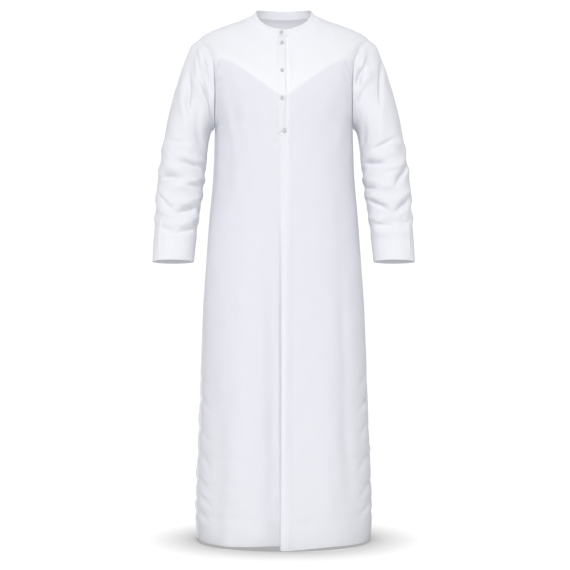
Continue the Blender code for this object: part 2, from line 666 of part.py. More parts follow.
def make_button(name, centre, outward):
    """A small round button with softened edges, lying square to the cloth."""
    shape = bmesh.new()
    bmesh.ops.create_cone(
        shape,
        cap_ends=True,
        segments=BUTTON_SIDES,
        radius1=BUTTON_RADIUS,
        radius2=BUTTON_RADIUS,
        depth=BUTTON_THICKNESS,
    )
    rims = [edge for edge in shape.edges if edge.verts[0].co.z == edge.verts[1].co.z]
    bmesh.ops.bevel(shape, geom=rims, offset=BUTTON_EDGE, segments=1, affect="EDGES")
    mesh = bpy.data.meshes.new(name)
    shape.to_mesh(mesh)
    shape.free()
    button = link_object(name, mesh, BUTTON_COLOUR, 0.35)
    button.location = centre
    button.rotation_mode = "QUATERNION"
    button.rotation_quaternion = Vector(outward).to_track_quat("Z", "Y")


def make_buttons(front):
    lift = SEAM_GAP + LAID_WALL + SEAM_GAP + BUTTON_THICKNESS / 2.0
    x, drop = np.array(PLACKET_BUTTONS).T
    v = front.row_at(np.zeros(len(x)), -drop, 0.9, 3.0)
    u = front.column_at(v, x)
    centres = front.face(v, u, lift)
    normals = front.normal(front.skin, v, u)
    for number in range(len(x)):
        make_button("button_%d" % (number + 2), centres[number], normals[number])
    neck_depth = FRONT_YOKE_ROWS[-1][1]
    collar_depth = neck_depth + COLLAR_WALL + 3.0 * SEAM_GAP + BUTTON_THICKNESS / 2.0
    collar_centre = np.array([COLLAR_BUTTON[0], -collar_depth, -COLLAR_BUTTON[1]])
    make_button("button_1", collar_centre, np.array([0.0, -1.0, 0.0]))


def main():
    for old in list(bpy.data.objects):
        bpy.data.objects.remove(old)
    front = Panel(-1.0, 2, FRONT_COLUMNS, FRONT_YOKE_ROWS, 0.0, FRONT_FOLDS, HEM_LIFTS)
    back = Panel(1.0, 3, BACK_COLUMNS, BACK_YOKE_ROWS, BACK_ARMHOLE_EASE, BACK_FOLDS, None)
    make_body(front, back)
    make_sleeve("sleeve_left", Sleeve(1.0, front, back, SLEEVE_LEFT_FOLDS))
    make_sleeve("sleeve_right", Sleeve(-1.0, front, back, SLEEVE_RIGHT_FOLDS))
    make_collar(front, back)
    make_placket(front)
    make_facing("facing_left", front, 1.0)
    make_facing("facing_right", front, -1.0)
    make_buttons(front)


main()
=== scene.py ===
"""Looks of the thobe robe: fine cloth shells with their folds and creases, sewing, buttons, floor and light.

Frame: metres, +Z up. The front faces -Y, the wearer's left is +X and the origin lies between the shoulders at
the base of the neck. The shells repeat the frame's own surfaces, read finer. Each is read at two numbers.
On a body panel v runs 0-1 up the side seam, 1-2 round the armhole and 2-3 in along the shoulder, and u runs
-1 to 1 across it, right to left. On a sleeve along runs 0-1 to the cuff, and angle goes round it.
"""

import json
import math

import bmesh
import bpy
import numpy as np
from mathutils import Matrix, Vector

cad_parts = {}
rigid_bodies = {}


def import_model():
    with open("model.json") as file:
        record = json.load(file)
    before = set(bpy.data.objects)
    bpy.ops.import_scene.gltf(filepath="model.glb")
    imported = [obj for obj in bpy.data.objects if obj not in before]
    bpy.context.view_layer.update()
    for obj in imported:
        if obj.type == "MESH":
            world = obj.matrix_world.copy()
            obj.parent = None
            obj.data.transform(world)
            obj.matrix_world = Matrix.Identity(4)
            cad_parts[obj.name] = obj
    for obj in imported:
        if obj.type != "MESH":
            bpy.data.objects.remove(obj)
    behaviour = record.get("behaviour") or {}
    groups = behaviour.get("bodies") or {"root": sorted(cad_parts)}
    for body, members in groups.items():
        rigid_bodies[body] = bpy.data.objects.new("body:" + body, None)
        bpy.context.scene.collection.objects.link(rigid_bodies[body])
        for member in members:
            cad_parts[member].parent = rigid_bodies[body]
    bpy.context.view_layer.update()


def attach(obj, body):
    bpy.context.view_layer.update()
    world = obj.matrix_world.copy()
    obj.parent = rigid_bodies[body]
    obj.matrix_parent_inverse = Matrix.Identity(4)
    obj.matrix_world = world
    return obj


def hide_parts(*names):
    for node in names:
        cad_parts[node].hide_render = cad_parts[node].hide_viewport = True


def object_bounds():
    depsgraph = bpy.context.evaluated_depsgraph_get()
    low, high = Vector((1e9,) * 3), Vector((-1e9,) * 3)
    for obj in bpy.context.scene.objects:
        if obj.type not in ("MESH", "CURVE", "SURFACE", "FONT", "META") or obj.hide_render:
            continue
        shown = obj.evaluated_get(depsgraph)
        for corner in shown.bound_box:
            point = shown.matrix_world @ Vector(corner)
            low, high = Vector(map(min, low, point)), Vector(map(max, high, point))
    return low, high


# ---- Sizes of the frame ----

MM = 0.001  # the tables of folds and creases are in millimetres
WALL = 0.0015  # cloth
SEAM_GAP = 0.0003  # clearance between pieces sewn to each other
LAID_WALL = 0.0012  # placket strip and chest facing, which lie on the front
COLLAR_WALL = 0.002  # two layers and their interlining

HEM_DROP = 1.42
UNDERARM_DROP = 0.3
BODY_HEIGHT = HEM_DROP - UNDERARM_DROP
NECK_HALF_WIDTH = 0.088
NECK_SIDE_RISE = 0.012
SHOULDER_HALF_WIDTH = 0.2335
SHOULDER_DROP = 0.0545

COLLAR_HEIGHT_FRONT = 0.0205
COLLAR_HEIGHT_BACK = 0.024
COLLAR_LAP_PAST_CENTRE = 0.0075  # how far each collar end reaches past the centre front
COLLAR_END_UNDER = 0.0165
COLLAR_CORNER_RADIUS = 0.01

PLACKET_INNER_EDGE = -0.0165  # x of the stitched edge
PLACKET_OPEN_EDGE = 0.0075  # x of the edge that opens
PLACKET_TOP_DROP = 0.0595
PLACKET_FOOT_DROP = 0.333
PLACKET_FACE = SEAM_GAP + LAID_WALL  # how far its face stands off the front

BUTTON_RADIUS = 0.0052
BUTTON_THICKNESS = 0.0022
BUTTON_EDGE = 0.0006  # softening of its rims
BUTTON_HOLE_RADIUS = 0.0006
BUTTON_HOLE_PLACE = 0.0011  # of each of the four holes, to both sides of the middle
COLLAR_BUTTON = (0.0225, 0.59)  # share of the way round the collar, share of its height
PLACKET_BUTTONS = ((-0.0042, 0.076), (-0.004, 0.156), (-0.0042, 0.2325), (0.0025, 0.319))  # x, drop

# Rings of the body below the underarm. drop: below the origin. squareness: 0.55 gives a quarter ellipse.
#   drop, half width, front depth, back depth, squareness
BODY_RINGS = (
    (HEM_DROP, 0.2395, 0.182, 0.172, 0.62),
    (1.357, 0.2425, 0.18, 0.169, 0.62),
    (1.308, 0.242, 0.177, 0.166, 0.62),
    (1.176, 0.2365, 0.17, 0.159, 0.63),
    (1.044, 0.231, 0.164, 0.152, 0.63),
    (0.912, 0.2266, 0.158, 0.146, 0.64),
    (0.78, 0.221, 0.153, 0.141, 0.64),
    (0.665, 0.213, 0.15, 0.137, 0.64),
    (0.55, 0.2045, 0.148, 0.134, 0.63),
    (0.418, 0.1935, 0.147, 0.134, 0.62),
    (UNDERARM_DROP, 0.1895, 0.145, 0.136, 0.61),
)

# Rows from the underarm to the neck. They leave the centre line level and reach the armhole or the
# shoulder seam on a heading, measured in plan from straight across, and a rise, both in degrees.
#   v, centre depth, centre height, heading, rise, fullness at the centre, fullness at the edge
FRONT_YOKE_ROWS = (
    (1, 0.145, -0.3, 90, 0, 0.61, 0.61),
    (1.12, 0.145, -0.282, 78, 0, 0.545, 0.635),
    (1.25, 0.144, -0.262, 68, 0, 0.51, 0.68),
    (1.4, 0.141, -0.236, 61, 0, 0.5, 0.73),
    (1.6, 0.132, -0.2, 53, 1, 0.52, 0.82),
    (1.8, 0.118, -0.162, 48, 0, 0.54, 0.85),
    (2, 0.098, -0.124, 46, -16, 0.55, 0.65),
    (2.5, 0.08, -0.088, 64, -4, 0.55, 0.62),
    (3, 0.062, -0.057, 90, 24, 0.55, 0.6),
)
BACK_YOKE_ROWS = (
    (1, 0.136, -0.3, 90, 0, 0.61, 0.61),
    (1.12, 0.137, -0.28, 78, 0, 0.545, 0.635),
    (1.25, 0.137, -0.254, 68, 0, 0.51, 0.68),
    (1.5, 0.134, -0.2, 57, 0, 0.51, 0.76),
    (1.75, 0.124, -0.138, 48, 0, 0.54, 0.85),
    (2, 0.104, -0.072, 44, -18, 0.55, 0.65),
    (2.5, 0.08, -0.024, 62, -14, 0.55, 0.62),
    (3, 0.057, 0.01, 90, 0, 0.55, 0.6),
)

# Front edge of the armhole, from the underarm to the shoulder tip. The back edge mirrors it, a little wider.
#   half width, depth, height
ARMHOLE = (
    (0.1895, 0, -UNDERARM_DROP),
    (0.1875, 0.032, -0.283),
    (0.1855, 0.055, -0.25),
    (0.1845, 0.067, -0.205),
    (0.186, 0.069, -0.165),
    (0.19, 0.063, -0.128),
    (0.2035, 0.045, -0.09),
    (0.22, 0.024, -0.0655),
    (0.231, 0.009, -0.056),
    (SHOULDER_HALF_WIDTH, 0, -SHOULDER_DROP),
)
BACK_ARMHOLE_EASE = 0.004

# Shoulder seam from the tip to the neck.
#   half width, height
SHOULDER_SEAM = (
    (SHOULDER_HALF_WIDTH, -SHOULDER_DROP),
    (0.222, -0.044),
    (0.19, -0.0275),
    (0.154, -0.0137),
    (0.121, -0.0027),
    (0.102, 0.006),
    (NECK_HALF_WIDTH, NECK_SIDE_RISE),
)

# Rings of a sleeve from the armhole to the cuff, as the points of its outer and inner lines.
#   outer half width, outer height, inner half width, inner height, lean forward, half depth, tilt
SLEEVE_RINGS = (
    (SHOULDER_HALF_WIDTH, -SHOULDER_DROP, 0.1895, -UNDERARM_DROP, 0, 0.069, 0),
    (0.254, -0.0714, 0.1945, -0.303, 0, 0.071, 0),
    (0.268, -0.1044, 0.1985, -0.308, 0, 0.073, 0),
    (0.2857, -0.154, 0.2025, -0.317, 0.002, 0.073, 0),
    (0.305, -0.22, 0.2055, -0.333, 0.004, 0.072, 0.01),
    (0.323, -0.302, 0.2085, -0.364, 0.008, 0.069, 0.03),
    (0.338, -0.385, 0.2135, -0.415, 0.013, 0.065, 0.06),
    (0.349, -0.4835, 0.222, -0.49, 0.02, 0.058, 0.09),
    (0.352, -0.5495, 0.232, -0.55, 0.026, 0.052, 0.11),
    (0.357, -0.665, 0.245, -0.665, 0.037, 0.042, 0.12),
)
SLEEVE_MEAN_RADIUS = 0.06
SLEEVE_LENGTH = 0.5
ARMHOLE_BLEND = 0.3  # share of the sleeve's length over which it leaves the armhole's shape
TIP_SHARE = 0.999999  # keeps the armhole's last point off the shoulder seam's first

# Large folds of the front and back, in millimetres. A fold runs from one end to the other; depth is + out and
# - in.
#   x at the top, drop at the top, x at the foot, drop at the foot, half width, depth top, depth foot
FRONT_FOLDS = (
    (-34, 340, -36, 1480, 17, -3, -13),  # the hollow beside the centre fold
    (4, 300, -2, 1480, 13, 3, 8),  # the centre fold
    (-105, 420, -118, 1480, 30, 3, 9), (-165, 900, -175, 1480, 20, -1, -6),
    (-160, 215, -128, 400, 13, 5, 1),  # pull from the armhole
    (150, 400, 178, 1480, 18, -3, -7), (110, 800, 120, 1480, 30, 1, 6),
    (165, 230, 140, 420, 14, 4, 1),  # pull from the armhole
)
BACK_FOLDS = (
    (0, 200, 6, 1480, 28, -3, -12), (95, 330, 112, 1480, 26, 3, 12),
    (-88, 300, -120, 1480, 28, 3, 11), (160, 500, 178, 1480, 18, -2, -7),
    (-150, 450, -172, 1480, 20, -2, -8), (150, 190, 120, 360, 14, 5, 1),
    (-150, 200, -118, 380, 14, 5, 1),
)

# Lower edge of the chest facing, mirrored on the other side.
#   distance from the centre, drop
FACING_EDGE = ((0, 0.232), (0.02, 0.218), (0.08, 0.172), (0.13, 0.136), (0.165, 0.118), (0.2, 0.128))
FACING_CENTRE_GAP = 0.001
FACING_EDGE_INSET = 0.975  # share of the panel's width that the facing reaches
FACING_NECK_ROW = 2.97  # the facing stops just below the neck seam
FACING_GAP = 0.0006

# ---- Sizes of the looks ----

HEM_FOLD = 0.0011  # thickness of a turned hem
EDGE_ROUND = 0.0012  # height over which its edge is rounded
HEM_DEPTH = 0.065
CUFF_DEPTH = 0.062
SEAM_ROLL = 0.0004  # how far an edge rolls in at its seam
SEAM_ALLOWANCE = 0.0045
ARMPIT_ROLL = 16  # how much deeper the armhole seam rolls in low down
LAP_UNDER = 0.3  # how far a lap tucks under its edge, as a share of its depth
LAP_PLACES = {-1: -0.04, 1: 0.045}  # where the front's and the back's columns run closer, for their laps

# Unevenness of the hems: how far they are lifted, by x.
#   x, lift
FRONT_HEM_LIFTS = (
    (-0.245, -0.0035), (-0.19, -0.001), (-0.1, 0.003), (-0.05, 0.0042), (-0.024, 0.003), (0, -0.004),
    (0.04, -0.0025), (0.075, 0.0005), (0.14, 0.0028), (0.19, 0.001), (0.245, -0.0035),
)
BACK_HEM_LIFTS = ((-0.245, -0.0045), (-0.1, 0.003), (0, -0.002), (0.11, 0.004), (0.245, -0.0045))

HEM_LIFT_FADE = 0.45  # height over which the lift fades out

# Small creases of the front and back, in millimetres, on top of the large folds. A soft crease is even and a
# roll has a raised edge on its side. A lap drops away on its side from a sharp edge, a fall from a blunt one.
# The half width is + for the side of +X and - for that of -X, and depth is + out and - in.
#   x, drop, x at the other end, drop there, half width, depth, depth there
FRONT_CREASES = {
    "lap": ((-7, 300, -16, 2100, -45, -2, -45.8),),  # the centre fold laps to its right
    "fall": (
        (-106, 150, -162, 620, -30, -8, -5),  # the chest falls away to the side
        (116, 150, 193, 960, 30, -3.5, -3), (-170, 560, -175, 1850, -32, -6, -11.5),
        (174, 560, 182, 1850, 32, -3.5, -4.5),
    ),
    "roll": (
        (-171.7, 115, -186, 146, -3.5, -2.2, -1.8),  # pulls at the armholes
        (-160, 166, -184, 192, -4, -2.2, -1.8), (164, 118, 183, 160, 4.5, -2.2, -2),
        (156, 150, 183, 200, 5, -2, -1.6),
        (-26, 64, -6, 86, 3.4, -3.4, -2.6),  # under the collar's end, then puckers of the side seams
        (-240, 1022, -196, 1076, -6, -3.6, -2), (-240, 1112, -204, 1150, -5.5, -3.6, -2),
        (-242, 1164, -198, 1230, -6, -3.6, -2), (-244, 1240, -200, 1290, -5.5, -3.8, -2),
        (-244, 1286, -193, 1330, -5, -4.7, -2.1), (-245, 1332, -202, 1366, -5, -4.1, -2.1),
        (234, 950, 202, 1014, 6, -3.8, -2.1), (238, 1022, 200, 1074, 5.5, -4.9, -2.6),
        (240, 1082, 200, 1150, 6, -4.7, -2.6), (242, 1170, 193, 1240, 6, -3.8, -2),
        (244, 1252, 198, 1306, 5.5, -4.1, -2.1), (245, 1308, 200, 1350, 5, -4.7, -2.1),
    ),
    "soft": (
        (13, -80, 12, 460, 7.5, 2.2, 2.2),  # pressed edge beside the placket
        (5, 200, 4, 2100, 15, 2, 3),  # and below it
        (-170, 203, -185, 226, 5, -1.6, -1.2), (164, 205, 186, 235, 5, -1.4, -1.2),
        (5.8, 30, 5.6, 290, 1.4, -1.6, -1.2),  # beside the open edge
        (-28, 356, -12, 340, 4, -3.4, -2.6),  # under the placket's tack
        (-233, 980, -202, 1006, 5.5, -2.2, -1.6),  # pucker of a side seam
    ),
}
BACK_CREASES = {
    "lap": ((10, 500, 12, 2100, 36, -2, -20),),
    "fall": (
        (-100, 200, -160, 760, -36, -8, -5), (104, 200, 170, 820, 36, -8, -5),
    ),
    "roll": (
        (-164, 120, -185, 170, -5, -2.4, -1.8), (160, 130, 185, 176, 5, -2.4, -1.8),
        (-156, 180, -184, 230, -5.5, -2, -1.4), (-234, 1060, -206, 1104, -6, -4.3, -2.1),
        (-237, 1216, -205, 1262, -6, -4.7, -2.1), (-239, 1304, -206, 1338, -5.5, -4.1, -1.8),
        (233, 1010, 204, 1050, 6, -4.1, -2.1), (237, 1150, 205, 1204, 6, -4.7, -2.1),
        (239, 1276, 204, 1318, 5.5, -4.3, -2.1),
    ),
    "soft": (
        (-60, 85, 50, 98, 11, -1.8, -1.8), (-90, 640, 40, 672, 18, -2.2, -1.6),
        (110, 560, 10, 600, 16, -2, -1.4),
    ),
}

# Folds and creases of the sleeves. Angles go round from the outer line (0) by the front (90), the inner line
# (180) and the back (270), and distances go down from the armhole, in millimetres. The half width is + where
# a roll's raised edge is above it.
#   angle at one end, distance down, angle at the other end, distance down there, half width, depth
SLEEVE_LEFT_CREASES = {
    "roll": (
        (44, 33, 104, 7, 5, -8), (-6, 33, 84, 110, 6, -7.2), (90, 39, 126, 26, 4.5, -5),
        (36, 183, 140, 188, -7, -4.9), (12, 215, 84, 200, -7, -3.2), (78, 247, 168, 210, 7, -4.5),
        (0, 232, 96, 322, 7, -4.7), (112, 309, 176, 292, 7, -3.8), (80, 373, 172, 323, 7, -4.7),
        (8, 317, 104, 392, 7, -4.5), (6, 379, 88, 421, -6.5, -3.4), (56, 421, 172, 395, -6.5, -4.1),
        (190, 145, 305, 175, -8, -4.4), (205, 233, 320, 212, 7.5, -4.1),
        (196, 270, 278, 328, 7.5, -4.1), (236, 353, 345, 320, -7, -3.8),
        (196, 398, 314, 413, -7, -3.6), (222, 86, 313, 21, 7, -4.4),
    ),
    "soft": (
        (45, 27.5, 102, 6, 13, -6),  # beside the armhole
        (22, 35, 92, 97.5, 14, -7),
        (62, 192.5, 122, 192.5, 12, -6),  # elbow
        (90, 245, 155, 217.5, 12, -5), (24, 245, 80, 307.5, 12, -6), (90, 365, 158, 332.5, 12, -5),
        (26, 330, 86, 380, 12, -5), (26, 395, 152, 410, 12, -4.5),
        # Back of the arm.
        (215, 40, 300, 110, 16, -6.5),
        (225, 200, 320, 220, 13, -5.5), (212, 290, 300, 270, 13, -5),
        (228, 370, 310, 345, 13, -4.5), (22, 6, 72, 23, 5.5, 5.6), (30, 53, 108, 25, 7.5, 5.6),
        (56, 70, 108, 190, 13, 4), (120, 65, 160, 180, 11, -3.6), (40, 258, 112, 266, 7, -3),
        (44, 320, 44, 650, 5, 2.2),  # pressed edge of the cuff
    ),
}
SLEEVE_RIGHT_CREASES = {
    "roll": (
        (48, 46, 140, 23, -5.5, -10), (20, 45, 96, 120, -6, -8), (28, 200, 116, 173, -7, -3.9),
        (42, 218, 132, 198, 6.5, -3), (64, 241, 166, 229, 6.8, -4.2), (6, 283, 114, 279, 6.8, -4.4),
        (92, 298, 168, 288, 6.5, -3.7), (6, 292, 108, 392, -6.5, -3.9),
        (80, 382, 168, 351, -6.8, -4), (26, 399, 106, 435, 6.5, -3.2),
        (76, 436, 172, 408, 6.5, -3.7), (190, 135, 300, 170, -8, -4.4),
        (206, 223, 315, 197, 7.5, -3.7), (192, 308, 286, 262, -7.5, -3.7),
        (230, 326, 340, 354, 7, -3.4), (200, 397, 315, 383, -7, -3.2), (226, 91, 320, 25, 7, -4.4),
    ),
    "soft": (
        (52, 42.5, 122, 10, 13, -6),  # beside the armhole
        (18, 57.5, 88, 102.5, 15, -6),
        (48, 212.5, 118, 185, 12, -6),  # elbow
        (78, 237.5, 146, 230, 12, -5), (24, 277.5, 98, 277.5, 12, -6), (24, 300, 97, 372.5, 12, 4),
        (92, 375, 154, 357.5, 12, -5), (40, 415, 152, 420, 12, -4.5),
        # Back of the arm.
        (212, 50, 304, 120, 16, -6.5),
        (230, 215, 318, 197.5, 13, -5.5), (210, 270, 292, 292.5, 13, -5),
        (226, 350, 312, 370, 13, -4.5), (24, 25, 62, 49, 5, 5), (12, 4, 72, 35, 5.5, 7.2),
        (26, 3, 76, 17, 4.5, 4.6), (34, 17, 92, 24, 4.5, -6.4), (92, 55, 146, 190, 12, -4),
        (60, 60, 100, 180, 13, 3.6), (8, 196, 72, 244, 9, 3.6), (46, 351, 134, 344, 6.5, 2.4),
        (46, 320, 46, 650, 5, 2.2),  # pressed edge of the cuff
    ),
}
SIDE_DENTS = (  # small dents of the side seams: drop, half height, depth
    (0.985, 0.01, -0.0012),
    (1.042, 0.009, -0.0022),
    (1.12, 0.01, -0.0014),
    (1.19, 0.009, -0.0024),
    (1.262, 0.008, -0.0026),
    (1.308, 0.007, -0.0022),
    (1.346, 0.007, -0.002),
)
EASE_ROWS = np.linspace(1, 3, 401)
EASE_COLUMNS = np.linspace(-1, 1, 121)
EASE_PASSES = 900
COLLAR_FRONT_DIP = 0.01  # how far the collar's rim dips beside the throat
COLLAR_SIDE_DIP = 0.003  # and at the neck's sides, where it also leans in
COLLAR_SIDE_LEAN = 0.34
COLLAR_EASE_PASSES = 500
COLLAR_DOUBLED = 0.75
CREASE_FADE = 0.02  # share of a panel's half over which creases die out at its seams
FOLD_FADE = 0.16  # and large folds
RUMPLES = (  # of the lower sleeves: depth, pitch, slope across, bend, phase
    (0.0016, 0.058, 0.35, 0.007, 0.3),
    (0.0012, 0.041, -0.45, 0.006, 1.7),
)
RIPPLES = (  # depth, waves along two axes, phase
    (0.0003, 88, 41, 0.4),
    (0.00022, -57, 96, 1.9),
    (0.00026, 131, -23, 3.3),
)

# Sewing.
STITCH = 0.0022
STITCH_SPACE = 0.0007
THREAD_RADIUS = 0.00018
STITCH_SIDES = 5
STITCH_RINGS = (  # share of its length, share of its radius, lift in radii
    (-0.5, 0.35, -0.4),
    (-0.28, 1, 0.5),
    (0.28, 1, 0.5),
    (0.5, 0.35, -0.4),
)
HEM_STITCH = 0.002  # from the hem's upper edge to its stitches
COLLAR_EDGE_STITCH = 0.003
PLACKET_EDGE_STITCH = 0.0024
PLACKET_EDGE_BACK = 0.003  # how far the open edge is drawn back by its fold
BUTTONHOLE = 0.0135
BUTTONHOLE_STITCH = {"length": 0.0011, "space": 0.0001, "radius": 0.00016}
TACK_STITCH = {"length": 0.003, "space": 0.0001, "radius": 0.0004}

# Divisions of the surfaces.
FRONT_ROWS = (215, 80, 44)  # side seam, armhole, shoulder
BACK_ROWS = (170, 60, 36)
FRONT_COLUMNS = 236
BACK_COLUMNS = 180
SLEEVE_ROWS = 230
SLEEVE_COLUMNS = 168

# Colours, light and view.
CLOTH_COLOUR = (0.8, 0.805, 0.85)
# the colour where cloth lies doubled, also used for painted light on the front's centre ridge, the sleeves
# and the chest facing
DOUBLED_AND_PAINTED_LIGHT_COLOUR = (0.735, 0.748, 0.772)
THREAD_COLOUR = (0.76, 0.77, 0.8)
BUTTON_COLOUR = (0.51, 0.51, 0.53)
THROUGH = 0.28  # share of light that passes through the cloth
AMBIENT = 0.4
KEY = 1.9
FILL = 0.6
GLOW = 0.105
BACKDROP = 1.05
FLOOR_SIZE = 60
FLOOR_GAP = 0.0006
HEM_SHADE = 0.42
CONTACT_REACH = 0.17  # how far the floor's contact shade reaches
CAMERA_PLACE = (0.0036, -3.7, -0.728)
LENS = 85
SENSOR = 36


# ---- Curves and surfaces ----


def smooth_through(stations, values, at):
    """Reads values, given at rising stations, along a smooth curve that never overshoots them."""
    stations = np.asarray(stations, float)
    values = np.asarray(values, float).reshape(len(stations), -1)
    at = np.clip(np.asarray(at, float), stations[0], stations[-1])
    gaps = np.diff(stations)[:, None]
    steps = np.diff(values, axis=0) / gaps
    slopes = np.zeros_like(values)
    slopes[0] = steps[0]
    slopes[-1] = steps[-1]
    product = steps[:-1] * steps[1:]
    total = np.where(product > 0, steps[:-1] + steps[1:], 1)
    slopes[1:-1] = np.where(product > 0, 2 * product / total, 0)
    span = np.clip(np.searchsorted(stations, at, side="right") - 1, 0, len(gaps) - 1)
    gap = gaps[span]
    t = (at - stations[span])[:, None] / gap
    start = (2 * t**3 - 3 * t**2 + 1) * values[span] + (t**3 - 2 * t**2 + t) * gap * slopes[span]
    end = (3 * t**2 - 2 * t**3) * values[span + 1] + (t**3 - t**2) * gap * slopes[span + 1]
    return start + end


def along_points(points, share):
    """Reads a smooth curve through points at shares 0-1 of its length."""
    points = np.asarray(points, float)
    lengths = np.r_[0, np.cumsum(np.linalg.norm(np.diff(points, axis=0), axis=1))]
    return smooth_through(lengths / lengths[-1], points, share)


def soft_step(x):
    x = np.clip(x, 0, 1)
    return x * x * (3 - 2 * x)


def unit(vectors):
    return vectors / np.maximum(np.linalg.norm(vectors, axis=-1, keepdims=True), 1e-12)


def bell(t):
    return np.exp(-(t**2))


def roll(t):
    return bell(t) - 0.75 * bell((t - 2.7) / 2)


def lap(t):
    t = np.logaddexp(0, 30 * t) / 30
    return (1 - np.exp(-12 * t)) * np.exp(-t) * 1.35


def fall(t):
    t = np.logaddexp(0, 3.5 * t) / 3.5
    return t * np.exp(1 - t)


PROFILES = {"soft": bell, "roll": roll, "lap": lap, "fall": fall}


def once_each(at):
    """The different numbers in a list, and where each one goes back."""
    return np.unique(at, return_inverse=True)


def read_along(at, stations, values):
    """Reads rows of coordinates, given at stations, at other places between them."""
    return np.stack([np.interp(at, stations, column) for column in values.T], axis=1)


def crease_offset(x, drop, creases):
    """How far creases, given in millimetres by profile, push the cloth out at places given flat."""
    x = x / MM
    drop = drop / MM
    total = np.zeros(len(x))
    for profile, rows in creases.items():
        for x_a, drop_a, x_b, drop_b, half_width, depth_a, depth_b in rows:
            run = x_b - x_a
            sink = drop_b - drop_a
            length = math.hypot(run, sink)
            along = ((x - x_a) * run + (drop - drop_a) * sink) / length**2
            across = ((x - x_a) * sink - (drop - drop_a) * run) / length
            ends = soft_step(along / 0.40) * soft_step((1 - along) / 0.40)
            depth = depth_a + (depth_b - depth_a) * np.clip(along, 0, 1)
            total += PROFILES[profile](across / half_width) * ends * depth
    return total * MM


